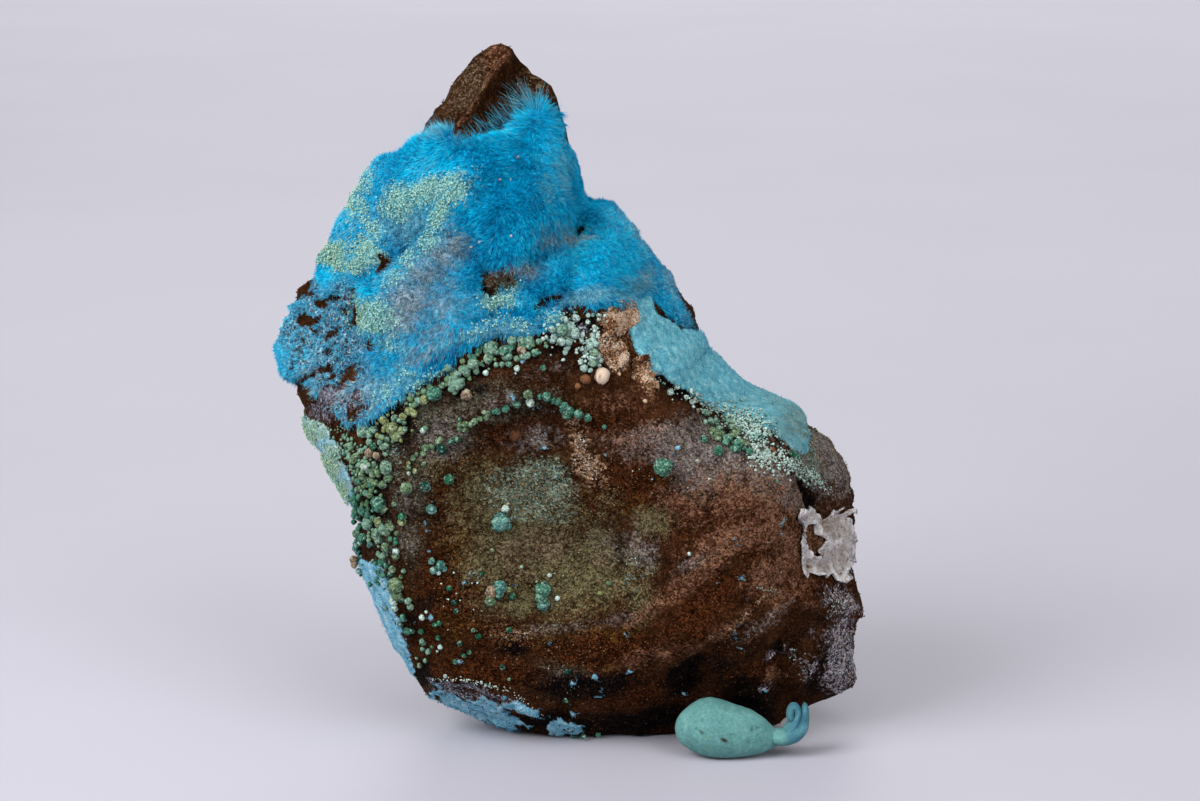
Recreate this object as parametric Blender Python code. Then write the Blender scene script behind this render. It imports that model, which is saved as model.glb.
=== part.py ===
"""A cyanotrichite specimen: a brown rock with blue velvet crusts and green spherules, propped with mounting putty.

Sizes below are millimetres. X is to the right, Y goes away from the front face, Z is up from the table.
The rock is a closed skin. Seen from the front it has an outline, and every straight line on the skin
from the front centre over the rim to the back centre is a meridian. A place on the skin is given by
the meridian's angle and by its reach: 0 at the front centre, 1 at the rim, 2 at the back centre.
"""

import math

import bmesh
import bpy
import numpy as np

MM = 0.001
GAP = 0.3  # clearance between neighbouring pieces
VELVET_GAP = 0.7  # under the big crust, whose flat faces bridge more of the rock's curve

TO_ORIGIN = (-0.2, -1.6, 0.0)  # puts the middle of the footprint box on the origin

# ---------------------------------------------------------------- the rock's driving shape

CENTRE = (-0.3, 20.6)  # x, z of both skin centres

# The rim seen from the front, clockwise from the tip: x, z, and the rim's depth y.
RIM = [
    (-4.8, 48.7, 4.5), (-3.7, 48.1, 4.5), (-2.7, 47.0, 4.5), (-1.4, 46.0, 4.0), (-0.7, 44.6, 4.0),
    (-0.1, 42.6, 4.0), (0.6, 40.4, 4.0), (1.5, 38.5, 4.0), (3.0, 37.6, 4.0), (4.6, 36.1, 4.0),
    (5.6, 34.2, 4.0), (7.0, 32.5, 4.0), (8.1, 30.6, 4.0), (9.0, 28.8, 4.0), (10.3, 27.0, 4.0),
    (12.3, 25.3, 4.0), (14.7, 23.5, 4.0), (16.8, 22.2, 4.0), (18.6, 20.4, 4.0), (19.9, 18.6, 4.0),
    (20.5, 16.2, 3.8), (20.2, 14.2, 3.4), (20.0, 11.8, 3.0), (20.6, 10.4, 2.2), (20.9, 8.6, 2.0),
    (20.3, 6.2, 2.4), (20.3, 2.9, 2.4), (19.1, 2.0, 2.0), (17.0, 1.7, 1.5), (15.4, 0.8, 0.5),
    (13.2, -0.4, 0.5), (8.0, -1.3, 0.5), (2.2, -1.5, 0.8), (-1.8, -0.8, 1.0), (-5.0, 0.5, 1.5),
    (-8.4, 1.7, 2.0), (-10.4, 2.7, 2.0), (-11.1, 3.9, 2.2), (-12.7, 6.0, 2.5), (-13.8, 8.6, 2.5),
    (-15.4, 11.7, 2.8), (-15.7, 13.6, 3.0), (-15.8, 15.5, 3.0), (-17.2, 18.2, 3.6), (-18.6, 20.8, 3.8),
    (-19.8, 24.1, 3.2), (-20.8, 27.5, 3.0), (-20.2, 29.2, 3.0), (-19.5, 30.7, 3.0), (-18.0, 32.6, 3.0),
    (-17.5, 34.2, 3.0), (-15.8, 37.3, 3.0), (-14.4, 39.9, 3.0), (-13.4, 41.0, 3.0), (-12.0, 41.3, 3.2),
    (-10.4, 42.6, 3.6), (-9.0, 44.9, 4.0), (-7.6, 46.6, 4.2), (-6.4, 48.1, 4.4),
]

# Front relief: x, z and the depth y that the face has there (negative is nearer to the viewer).
FRONT = [
    # brown tip: a ridge that runs down to the left, with a hollow to its right
    (-4.9, 47.6, 1.6), (-6.7, 44.7, -1.2), (-7.7, 43.1, -2.0), (-3.3, 45.3, 0.8), (-1.6, 44.2, 0.2),
    # velvet shoulder and its dome
    (-1.9, 41.7, -3.8), (-9.4, 40.1, -3.0), (-11.9, 39.0, -1.0), (-4.5, 39.2, -6.0), (-0.5, 37.7, -5.0),
    (0.9, 36.6, -3.2), (2.4, 36.6, -3.6), (5.0, 33.6, -1.0), (2.2, 34.3, -6.5), (5.6, 31.9, -5.0),
    (-4.5, 36.1, -7.5), (-8.6, 35.8, -6.0), (-14.3, 35.1, -2.0), (-11.3, 32.5, -6.3), (-4.6, 33.0, -5.7),
    (-0.5, 32.7, -7.5), (-7.9, 30.0, -8.0), (-12.7, 29.6, -6.0), (-16.3, 29.1, -3.5), (-18.8, 28.7, -1.0),
    # right shoulder under the pale band
    (3.5, 31.4, -8.2), (4.9, 29.6, -8.2), (8.3, 27.3, -7.0), (8.4, 29.3, -1.5), (10.6, 26.3, -2.5),
    (14.8, 22.9, -2.5), (13.1, 23.0, -6.5), (9.0, 25.4, -8.0), (17.6, 20.8, -2.0), (19.0, 18.4, 0.0),
    # bare face: a shallow basin with a raised lower lip, and the dark slot on the right
    (17.1, 17.8, -3.2), (15.2, 18.6, -6.5), (4.9, 24.5, -8.0), (10.3, 21.8, -8.2), (-0.5, 25.8, -7.6),
    (-5.9, 24.3, -7.2), (-10.0, 23.0, -7.5), (-11.4, 18.9, -8.0), (-8.8, 17.2, -6.6), (-2.6, 17.6, -5.4),
    (-0.6, 13.9, -5.0), (2.2, 16.9, -5.4), (5.0, 11.5, -6.4), (6.3, 8.9, -7.5), (9.0, 14.6, -7.5),
    (-9.5, 11.6, -7.0), (-10.3, 7.8, -5.8), (-6.8, 8.8, -7.0), (13.2, 13.0, -7.2), (16.0, 11.3, -6.0),
    (19.0, 10.5, -3.0), (9.1, 8.5, -8.3),
    # undercut foot, with the toe that stands on the putty
    (-8.2, 5.6, -5.8), (-3.4, 4.1, -5.6), (2.2, 3.4, -5.6), (0.8, 0.4, -3.4), (5.0, 2.2, -4.6),
    (5.0, 0.2, -3.0), (7.8, 3.4, -4.0), (11.0, 3.6, -3.8), (11.9, 7.3, -6.8), (13.9, 3.6, -5.8),
    (15.6, 5.9, -5.4), (16.4, 3.0, -1.8), (18.4, 4.8, -3.4), (14.0, 0.8, -2.2),
]

# Back relief: a broken face, fullest in the middle.
BACK = [
    (-4.8, 46.5, 5.8), (-5.0, 42.0, 7.6), (-12.5, 38.5, 5.4), (-3.0, 36.0, 9.4), (3.0, 35.0, 7.0),
    (-14.0, 30.0, 6.8), (-1.0, 31.0, 10.8), (6.0, 28.0, 9.0), (-16.0, 24.0, 6.2), (-6.0, 22.0, 10.6),
    (3.0, 22.0, 11.6), (12.0, 21.5, 8.6), (16.5, 16.0, 8.0), (-11.0, 15.0, 7.8), (-2.0, 13.0, 10.8),
    (8.0, 12.0, 11.2), (15.0, 9.0, 9.6), (-9.0, 8.0, 6.6), (-3.0, 5.0, 8.6), (5.0, 3.5, 9.6),
    (13.0, 3.0, 8.4), (18.0, 5.0, 6.0),
]

# How square the edge between the face and the rim is, by meridian angle in degrees: front, back.
EDGE = [
    (-180, 3.6, 2.6), (-150, 4.2, 2.4), (-120, 3.4, 2.8), (-90, 3.4, 3.4), (-60, 3.2, 3.4), (-30, 3.4, 2.8),
    (0, 4.2, 2.6), (30, 2.8, 2.4), (60, 2.4, 2.4), (90, 2.6, 2.6), (105, 2.8, 2.8), (130, 3.0, 2.6),
    (155, 3.0, 2.6),
]

# How far the crusts stand out from the rock along the rim, by meridian angle in degrees.
COVER = [
    (-180, 1.0), (-125, 0.8), (-118, 0.0), (-18, 0.0), (-8, 0.9), (-3, 0.0), (8, 0.8), (25, 1.1), (45, 0.9),
    (52, 1.2), (82, 1.4), (92, 1.2), (96, 0.2), (106, 0.2), (111, 1.2), (165, 1.2), (172, 0.9), (176, 0.6),
]

ROUGH_SIZE = 4.5  # size of the broken faces
ROUGH_DEPTH = 0.55
RIM_ROUGH = 0.3  # share of that depth left at the rim
ANGLES = 720  # meridians in the skin table
REACHES = 161  # places along each of them


def lattice_noise(points, seed):
    """Smooth noise from -1 to 1: a random value at each corner of a unit lattice, blended between the corners."""
    cell = np.floor(points).astype(np.int64)
    inside = points - cell
    inside = inside * inside * (3.0 - 2.0 * inside)
    total = np.zeros(points.shape[:-1])
    for corner in np.ndindex(2, 2, 2):
        at = cell + np.array(corner)
        mixed = (at[..., 0] * 73856093) ^ (at[..., 1] * 19349663) ^ (at[..., 2] * 83492791) ^ (seed * 2654435)
        mixed = (mixed ^ (mixed >> 13)) * 1274126177 & 0x7FFFFFFF
        value = ((mixed ^ (mixed >> 11)) & 0xFFFF) / 32767.5 - 1.0
        share = np.where(np.array(corner) == 1, inside, 1.0 - inside)
        total += value * share.prod(axis=-1)
    return total


def thin_plate(points):
    """The smoothest surface y(x, z) through the points, as a function."""
    known = np.array(points, float)
    count = len(known)

    def kernel(x, z):
        squared = (x[..., None] - known[:, 0]) ** 2 + (z[..., None] - known[:, 1]) ** 2
        return squared * np.log(squared + 1e-9)

    system = np.zeros((count + 3, count + 3))
    system[:count, :count] = kernel(known[:, 0], known[:, 1]) + 0.5 * np.eye(count)
    flat = np.column_stack([np.ones(count), known[:, 0], known[:, 1]])
    system[:count, count:] = flat
    system[count:, :count] = flat.T
    weights = np.linalg.solve(system, np.append(known[:, 2], np.zeros(3)))

    def surface(x, z):
        plane = weights[count] + weights[count + 1] * x + weights[count + 2] * z
        return kernel(x, z) @ weights[:count] + plane

    return surface


def rim_at(angles):
    """Radius and depth of the rim at each angle: where a ray from the centre meets the outline's straight sides."""
    x, z, depth = np.array(RIM).T
    bearing = np.arctan2(z - CENTRE[1], x - CENTRE[0])
    radius = np.hypot(x - CENTRE[0], z - CENTRE[1])
    order = np.argsort(bearing)
    bearing, radius, depth = bearing[order], radius[order], depth[order]
    bearing = np.concatenate([[bearing[-1] - 2 * math.pi], bearing, [bearing[0] + 2 * math.pi]])
    radius = np.concatenate([[radius[-1]], radius, [radius[0]]])
    depth = np.concatenate([[depth[-1]], depth, [depth[0]]])
    at = np.clip(np.searchsorted(bearing, angles, side="right") - 1, 0, len(bearing) - 2)
    before, after = bearing[at], bearing[at + 1]
    near, far = radius[at], radius[at + 1]
    across = near * np.sin(angles - before) + far * np.sin(after - angles)
    share = (angles - before) / (after - before)
    return near * far * np.sin(after - before) / across, depth[at] * (1 - share) + depth[at + 1] * share


def skin_table():
    """Positions on the skin for evenly spaced angles and evenly spaced reaches."""
    angles = -math.pi + 2 * math.pi * np.arange(ANGLES) / ANGLES
    radius, rim_depth = rim_at(angles)
    knots, cover = np.array(COVER, float).T
    radius = radius - np.interp(np.degrees(angles), knots, cover, period=360)
    knots, front_edge, back_edge = np.array(EDGE, float).T
    front_edge = np.interp(np.degrees(angles), knots, front_edge, period=360)
    back_edge = np.interp(np.degrees(angles), knots, back_edge, period=360)
    swing = np.linspace(0, math.pi / 2, 120)
    halves = []
    for points, edge in ((FRONT, front_edge), (BACK, back_edge)):
        outward = np.sin(swing)[None, :] ** (2 / edge[:, None])
        fullness = np.cos(swing)[None, :] ** (2 / edge[:, None])
        x = CENTRE[0] + outward * (radius * np.cos(angles))[:, None]
        z = CENTRE[1] + outward * (radius * np.sin(angles))[:, None]
        relief = np.clip(thin_plate(points)(x, z), -9.0, 12.5)
        y = rim_depth[:, None] + (relief - rim_depth[:, None]) * fullness
        halves.append(np.stack([x, y, z], axis=-1))
    table = []
    for half in halves:
        steps = np.linalg.norm(np.diff(half, axis=1), axis=2)
        along = np.concatenate([np.zeros((ANGLES, 1)), np.cumsum(steps, axis=1)], axis=1)
        along /= along[:, -1:]
        even = np.linspace(0, 1, (REACHES + 1) // 2)
        table.append(np.array([
            [np.interp(even, along[i], half[i, :, k]) for k in range(3)] for i in range(ANGLES)
        ]).transpose(0, 2, 1))
    skin = np.concatenate([table[0], table[1][:, -2::-1]], axis=1)
    reach = np.linspace(0, 2, REACHES)
    calm = 1 - (1 - RIM_ROUGH) * np.exp(-(((reach - 1) / 0.2) ** 2))
    rough = lattice_noise(skin / ROUGH_SIZE + 31.7, 3) * ROUGH_DEPTH * calm
    outward = skin - np.array([CENTRE[0], 1.5, CENTRE[1]])
    outward *= np.array([0.25, 1.0, 0.25])
    outward /= np.linalg.norm(outward, axis=-1, keepdims=True)
    return skin + rough[..., None] * outward


SKIN = skin_table()


def skin_at(angle, reach):
    """Position on the skin, read from the table between its four nearest entries."""
    a = (np.asarray(angle, float) + math.pi) / (2 * math.pi) * ANGLES
    r = np.clip(np.asarray(reach, float), 0, 2) / 2 * (REACHES - 1)
    a0, r0 = np.floor(a).astype(int), np.minimum(np.floor(r).astype(int), REACHES - 2)
    fa, fr = (a - a0)[..., None], (r - r0)[..., None]
    low = SKIN[a0 % ANGLES, r0] * (1 - fa) + SKIN[(a0 + 1) % ANGLES, r0] * fa
    high = SKIN[a0 % ANGLES, r0 + 1] * (1 - fa) + SKIN[(a0 + 1) % ANGLES, r0 + 1] * fa
    return low * (1 - fr) + high * fr


def chart_of(x, z):
    """Flat chart position of a point seen from the front. Past the rim, the point folds onto the back by as much."""
    angle = math.atan2(z - CENTRE[1], x - CENTRE[0])
    radius = float(rim_at(np.array([angle]))[0][0])
    share = math.hypot(x - CENTRE[0], z - CENTRE[1]) / radius
    reach = np.linspace(0, 2, 401)
    line = skin_at(np.full(401, angle), reach)
    across = np.hypot(line[:, 0] - CENTRE[0], line[:, 2] - CENTRE[1]) / radius
    if share <= 1:
        found = np.interp(share, np.maximum.accumulate(across[:201]), reach[:201])
    else:
        found = 2 - np.interp(2 - share, np.maximum.accumulate(across[:200:-1]), reach[:200])
    return found * math.cos(angle), found * math.sin(angle)


def on_chart(chart, lift=0.0):
    """Positions over chart places, raised off the skin by lift along its normal."""

    def place(c):
        return skin_at(np.arctan2(c[..., 1], c[..., 0]), np.hypot(c[..., 0], c[..., 1]))

    step = 0.01
    here = place(chart)
    east = place(chart + [step, 0]) - place(chart - [step, 0])
    north = place(chart + [0, step]) - place(chart - [0, step])
    normal = np.cross(east, north)
    normal /= np.linalg.norm(normal, axis=-1, keepdims=True) + 1e-12
    return here + normal * np.asarray(lift)[..., None]


# ---------------------------------------------------------------- Blender helpers

def material(name, colour, roughness):
    made = bpy.data.materials.new(name)
    made.use_nodes = True
    shader = made.node_tree.nodes["Principled BSDF"]
    shader.inputs["Base Color"].default_value = (*colour, 1)
    shader.inputs["Roughness"].default_value = roughness
    shader.inputs["Metallic"].default_value = 0
    return made


def add_object(name, bm, finish):
    bmesh.ops.recalc_face_normals(bm, faces=bm.faces)
    mesh = bpy.data.meshes.new(name)
    bm.to_mesh(mesh)
    bm.free()
    mesh.materials.append(finish)
    mesh.shade_smooth()
    mesh.set_sharp_from_angle(angle=math.radians(35))
    made = bpy.data.objects.new(name, mesh)
    bpy.context.collection.objects.link(made)
    made.parent = bpy.data.objects["specimen"]
    return made


def sheet_faces(bm, rows, flip=False):
    """Quads between neighbouring rows of vertices."""
    for near, far in zip(rows, rows[1:]):
        for i in range(len(near) - 1):
            quad = (near[i], near[i + 1], far[i + 1], far[i])
            bm.faces.new(quad[::-1] if flip else quad)


def resampled(corners, count):
    """Points evenly spaced along a run of straight chart lines."""
    corners = np.array(corners, float)
    along = np.concatenate([[0], np.cumsum(np.linalg.norm(np.diff(corners, axis=0), axis=1))])
    even = np.linspace(0, along[-1], count)
    return np.column_stack([np.interp(even, along, corners[:, k]) for k in (0, 1)])


def crust(name, upper, lower, thickness, columns, rows, finish, gap=GAP):
    """A crust that lies over the skin between two edges, both given from left to right as x, z points."""
    top = resampled([chart_of(*p) for p in upper], columns + 1)
    bottom = resampled([chart_of(*p) for p in lower], columns + 1)
    share = np.linspace(0, 1, rows + 1)[:, None, None]
    chart = top[None] * (1 - share) + bottom[None] * share
    across = np.abs(2 * np.linspace(0, 1, rows + 1) - 1)[:, None]
    along = np.abs(2 * np.linspace(0, 1, columns + 1) - 1)[None, :]
    dome = np.sqrt(np.clip(1 - across**3, 0, 1)) * np.sqrt(np.clip(1 - along**6, 0, 1))
    outer = on_chart(chart, gap + thickness * (0.3 + 0.7 * dome))
    inner = on_chart(chart, np.full(dome.shape, gap))
    bm = bmesh.new()
    skins = [[[bm.verts.new(p * MM) for p in row] for row in skin] for skin in (outer, inner)]
    sheet_faces(bm, skins[0])
    sheet_faces(bm, skins[1], flip=True)
    for edge in (0, -1):
        sheet_faces(bm, [skins[0][edge], skins[1][edge]], flip=edge == 0)
        sheet_faces(bm, [[row[edge] for row in skin] for skin in skins], flip=edge == -1)
    return add_object(name, bm, finish)


def tube(name, path, radii, sides, finish, flatness=1.0):
    """A closed loft of rings along a path, with a point at both ends. Flatness scales the rings' height."""
    path, radii = np.array(path, float), np.array(radii, float)
    bm = bmesh.new()
    ends = [bm.verts.new(path[0] * MM), bm.verts.new(path[-1] * MM)]
    rings = []
    for i in range(1, len(path) - 1):
        forward = path[i + 1] - path[i - 1]
        forward /= np.linalg.norm(forward)
        side = np.cross(forward, [0, 0, 1])
        side /= np.linalg.norm(side)
        rise = np.cross(side, forward) * flatness
        turn = 2 * math.pi * np.arange(sides) / sides
        ring = path[i] + radii[i] * (np.cos(turn)[:, None] * side + np.sin(turn)[:, None] * rise)
        rings.append([bm.verts.new(p * MM) for p in ring])
    for near, far in zip(rings, rings[1:]):
        for i in range(sides):
            bm.faces.new((near[i], near[(i + 1) % sides], far[(i + 1) % sides], far[i]))
    for tip, ring in zip(ends, (rings[0], rings[-1])):
        for i in range(sides):
            bm.faces.new((tip, ring[i], ring[(i + 1) % sides]))
    return add_object(name, bm, finish)


def ball(name, x, z, radius, finish, height=1.0, flat=1.0):
    """A spherule that sits on the skin at x, z. Height stretches it upwards, flat presses it onto the rock."""
    chart = np.array(chart_of(x, z))
    seat, above = on_chart(chart, np.array(0.0)), on_chart(chart, np.array(1.0))
    normal = above - seat
    bm = bmesh.new()
    bmesh.ops.create_icosphere(bm, subdivisions=2, radius=radius * MM)
    for vertex in bm.verts:
        local = np.array(vertex.co) * [1, 1, height]
        local -= normal * (local @ normal) * (1 - flat)
        vertex.co = local + (seat + normal * (GAP + 0.08 + radius * flat)) * MM
    return add_object(name, bm, finish)


# ---------------------------------------------------------------- the pieces

def host_rock(finish):
    """The skin as a mesh of rings round the front centre, cut flat at the table."""
    columns, rows = 60, 28
    tip = math.atan2(RIM[0][1] - CENTRE[1], RIM[0][0] - CENTRE[0])
    angles = tip + 2 * math.pi * np.arange(columns) / columns
    bm = bmesh.new()
    poles = [bm.verts.new(skin_at(0.0, reach) * MM) for reach in (0.0, 2.0)]
    rings = []
    for row in range(1, rows):
        ring = skin_at(angles, np.full(columns, 2 * row / rows))
        rings.append([bm.verts.new(p * MM) for p in ring])
    for near, far in zip(rings, rings[1:]):
        for i in range(columns):
            bm.faces.new((near[i], near[(i + 1) % columns], far[(i + 1) % columns], far[i]))
    for pole, ring in zip(poles, (rings[0], rings[-1])):
        for i in range(columns):
            bm.faces.new((pole, ring[i], ring[(i + 1) % columns]))
    everything = bm.verts[:] + bm.edges[:] + bm.faces[:]
    cut = bmesh.ops.bisect_plane(
        bm, geom=everything, plane_co=(0, 0, 0), plane_no=(0, 0, -1), clear_outer=True, dist=1e-6
    )
    edges = [part for part in cut["geom_cut"] if isinstance(part, bmesh.types.BMEdge)]
    bmesh.ops.holes_fill(bm, edges=edges, sides=0)
    bmesh.ops.remove_doubles(bm, verts=bm.verts, dist=0.02 * MM)
    bmesh.ops.triangulate(bm, faces=[face for face in bm.faces if len(face.verts) > 4])
    return add_object("host_rock", bm, finish)


VELVET_CAP_UPPER = [
    (-24.5, 26.0), (-23.6, 33.6), (-18.6, 41.4), (-12.4, 43.6), (-9.0, 43.2), (-7.8, 42.4), (-6.8, 43.2),
    (-4.6, 44.6), (-2.6, 45.4), (-0.9, 45.2), (1.6, 43.4), (3.4, 40.2), (6.4, 38.0), (8.8, 34.8),
    (10.6, 31.4), (11.0, 30.0),
]
VELVET_CAP_LOWER = [
    (-21.6, 23.4), (-18.6, 24.6), (-15.8, 24.8), (-13.0, 24.2), (-11.4, 25.4), (-9.2, 27.4), (-6.2, 28.6),
    (-3.2, 29.6), (-0.6, 30.6), (2.4, 31.5), (4.6, 32.3), (6.0, 31.5),
    (7.6, 30.0), (8.9, 29.1),
]
VELVET_BAND_UPPER = [
    (4.6, 31.0), (6.2, 29.8), (8.4, 28.3), (10.8, 28.6), (13.4, 26.6), (16.4, 24.6), (18.8, 22.4), (19.4, 20.8),
]
VELVET_BAND_LOWER = [
    (4.3, 30.2), (4.6, 28.4), (6.4, 27.0), (8.6, 26.0), (11.0, 24.8), (13.4, 23.2), (15.4, 21.8), (18.0, 20.0),
]
FLANK_STRIP_OUTER = [(-21.4, 22.4), (-20.6, 19.6), (-18.2, 15.6), (-17.6, 12.2), (-15.8, 8.6), (-13.4, 4.6)]
FLANK_STRIP_INNER = [(-18.4, 21.8), (-17.0, 19.4), (-15.2, 16.4), (-14.8, 12.4), (-13.2, 8.6), (-11.2, 5.0)]
FOOT_LEFT_UPPER = [(-8.8, 5.2), (-6.8, 5.6), (-5.0, 4.8), (-3.4, 3.6)]
FOOT_LEFT_LOWER = [(-8.4, 3.4), (-6.8, 2.8), (-5.2, 2.6), (-3.6, 2.4)]
FOOT_MIDDLE_UPPER = [(-1.6, 2.3), (-0.8, 2.6), (-0.1, 2.2)]
FOOT_MIDDLE_LOWER = [(-1.5, 1.4), (-0.8, 1.3), (-0.1, 1.4)]
OCHRE_UPPER = [(2.6, 30.4), (3.3, 30.9), (3.9, 30.2)]
OCHRE_LOWER = [(2.7, 27.6), (3.2, 26.9), (3.8, 27.5)]
OCHRE_LOW_UPPER = [(4.5, 26.3), (5.0, 26.7), (5.6, 26.0)]
OCHRE_LOW_LOWER = [(5.0, 25.0), (5.4, 24.7), (5.8, 25.0)]
MINT_TAIL_UPPER = [(13.0, 21.6), (14.2, 21.4), (15.6, 20.4), (17.3, 18.6)]
MINT_TAIL_LOWER = [(12.9, 20.8), (14.0, 20.4), (15.4, 19.6), (16.9, 18.3)]
RESIDUE_UPPER = [(15.2, 17.6), (16.2, 17.4), (17.2, 16.9), (18.2, 17.3), (19.4, 17.4), (20.1, 16.9)]
RESIDUE_LOWER = [(15.6, 12.8), (16.6, 12.9), (17.7, 12.6), (18.7, 12.4), (19.4, 12.4), (20.2, 12.9)]

# Beads of the green chain from left to right: x, z and radius.
CHAIN = [
    (-7.5, 24.6, 0.24), (-6.9, 24.8, 0.26), (-6.5, 25.1, 0.30), (-6.0, 25.3, 0.30), (-5.5, 25.5, 0.28),
    (-4.9, 25.7, 0.26), (-4.3, 26.0, 0.28), (-3.6, 26.3, 0.30), (-2.7, 26.8, 0.34), (-1.7, 26.8, 0.28),
    (-1.0, 26.4, 0.30), (-0.3, 26.2, 0.30), (0.1, 25.6, 0.32), (0.8, 25.5, 0.28), (1.3, 25.2, 0.26),
    (2.4, 24.6, 0.16),
]

# Larger spherules: name, x, z, radius, height, flatness.
SPHERULES = [
    ("spherule_basin", -4.6, 17.2, 0.75, 1.0, 0.7),
    ("spherule_lower_left", -5.0, 12.4, 0.62, 1.0, 0.7),
    ("spherule_lower_right", -1.7, 12.0, 0.48, 1.4, 0.8),
    ("spherule_flank", -9.0, 13.8, 0.55, 1.0, 0.7),
    ("spherule_small_basin", -9.5, 18.0, 0.34, 1.0, 0.9),
    ("spherule_disc", 6.5, 21.0, 0.60, 1.0, 0.45),
    ("spherule_right_upper", 9.8, 23.6, 0.44, 1.0, 0.8),
    ("spherule_right_lower", 10.2, 22.8, 0.32, 1.0, 0.8),
]


def bead_chain(finish):
    """The chain: one solid whose radius swells at every bead and narrows to a neck between two."""
    beads = np.array(CHAIN)
    charts = np.array([chart_of(x, z) for x, z in beads[:, :2]])
    path, radii = [], []
    for i in range(len(beads)):
        radius = beads[i, 2]
        for share, swell in ((-0.36, 0.6), (0.0, 1.0), (0.36, 0.6)):
            other = min(max(i + int(np.sign(share)), 0), len(beads) - 1)
            chart = charts[i] * (1 - abs(share)) + charts[other] * abs(share)
            if other == i and share:
                chart = charts[i] + (charts[i] - charts[1 if i == 0 else i - 1]) * 0.3
            path.append(on_chart(chart, np.array(GAP + 0.12 + radius)))
            radii.append(radius * swell)
    return tube("spherule_chain", path, radii, 6, finish)


def mounting_putty(finish, rock):
    """A pinched oval of putty that tapers to a neck and curls up, flat under and pressed to the rock."""
    path = [
        (7.3, -5.5, 1.7), (7.9, -5.6, 1.8), (8.9, -5.7, 1.95), (10.0, -5.7, 2.05), (11.3, -5.7, 1.9),
        (12.6, -5.7, 1.6), (13.8, -5.7, 1.2), (14.8, -5.9, 0.9), (15.7, -6.0, 0.9), (16.4, -6.0, 1.4),
        (16.7, -6.0, 2.2), (16.6, -5.9, 3.0), (16.3, -5.9, 3.5), (16.1, -5.9, 3.6),
    ]
    radii = [0, 1.1, 1.85, 2.15, 1.95, 1.5, 0.95, 0.6, 0.58, 0.58, 0.58, 0.55, 0.4, 0]
    putty = tube("mounting_putty", path, radii, 14, finish)
    floor = bpy.data.objects.new("table_cutter", bpy.data.meshes.new("table_cutter"))
    bm = bmesh.new()
    bmesh.ops.create_cube(bm, size=40 * MM)
    bmesh.ops.translate(bm, verts=bm.verts, vec=(10 * MM, 0, -20 * MM))
    bm.to_mesh(floor.data)
    bm.free()
    swollen = bpy.data.objects.new("rock_cutter", rock.data.copy())
    for made in (floor, swollen):
        bpy.context.collection.objects.link(made)
        made.parent = bpy.data.objects["specimen"]
        made.hide_render = True
        made.display_type = "WIRE"
        cut = putty.modifiers.new(made.name, "BOOLEAN")
        cut.operation = "DIFFERENCE"
        cut.solver = "EXACT"
        cut.object = made
    normals = [vertex.normal.copy() for vertex in swollen.data.vertices]
    for vertex, normal in zip(swollen.data.vertices, normals):
        vertex.co += normal * (GAP + 0.05) * MM
    return putty


def main():
    for made in list(bpy.data.objects):
        bpy.data.objects.remove(made)
    specimen = bpy.data.objects.new("specimen", None)
    specimen.location = [offset * MM for offset in TO_ORIGIN]
    bpy.context.collection.objects.link(specimen)

    brown = material("brown_rock", (0.13, 0.065, 0.035), 0.7)
    blue = material("blue_velvet", (0.01, 0.24, 0.55), 0.9)
    turquoise = material("turquoise_velvet", (0.12, 0.45, 0.55), 0.9)
    sky = material("sky_blue_crust", (0.15, 0.50, 0.75), 0.85)
    green = material("sea_green_spherule", (0.10, 0.32, 0.20), 0.6)
    mint = material("mint_crust", (0.45, 0.62, 0.45), 0.85)
    ochre = material("ochre_crust", (0.52, 0.33, 0.18), 0.85)
    putty = material("teal_putty", (0.11, 0.42, 0.33), 0.8)
    adhesive = material("old_adhesive", (0.45, 0.42, 0.38), 0.9)

    rock = host_rock(brown)
    crust("velvet_cap", VELVET_CAP_UPPER, VELVET_CAP_LOWER, 0.6, 32, 19, blue, VELVET_GAP)
    crust("velvet_band", VELVET_BAND_UPPER, VELVET_BAND_LOWER, 0.5, 20, 8, turquoise)
    crust("flank_crust", FLANK_STRIP_OUTER, FLANK_STRIP_INNER, 0.4, 18, 5, sky)
    crust("foot_crust_left", FOOT_LEFT_UPPER, FOOT_LEFT_LOWER, 0.35, 8, 3, sky)
    crust("foot_crust_middle", FOOT_MIDDLE_UPPER, FOOT_MIDDLE_LOWER, 0.35, 4, 3, sky)
    crust("ochre_crust_upper", OCHRE_UPPER, OCHRE_LOWER, 0.35, 4, 7, ochre)
    crust("ochre_crust_lower", OCHRE_LOW_UPPER, OCHRE_LOW_LOWER, 0.3, 4, 4, ochre)
    crust("mint_tail", MINT_TAIL_UPPER, MINT_TAIL_LOWER, 0.4, 10, 3, mint)
    crust("adhesive_patch", RESIDUE_UPPER, RESIDUE_LOWER, 0.25, 12, 8, adhesive)
    bead_chain(green)
    for name, x, z, radius, height, flat in SPHERULES:
        ball(name, x, z, radius, green, height, flat)
    ball("pebble_tan", 2.0, 27.4, 0.36, ochre, 0.8, 0.8)
    mounting_putty(putty, rock)


main()
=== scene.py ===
"""The looks of a cyanotrichite specimen: brown rock, blue needle velvet, green spherules and mounting putty.

Lengths are millimetres, in the rock's own frame, until they reach a mesh. The rock is a closed skin. Every
line on it from the front centre over the rim to the back centre is a meridian, so a place on it is an angle
and a reach: 0 at the front centre, 1 at the rim, 2 at the back centre. What grows on the rock is placed by
where the scene's camera sees it, in pixels of a frame 1200 wide and 801 high, and is then set on the skin.
"""

import math

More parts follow.
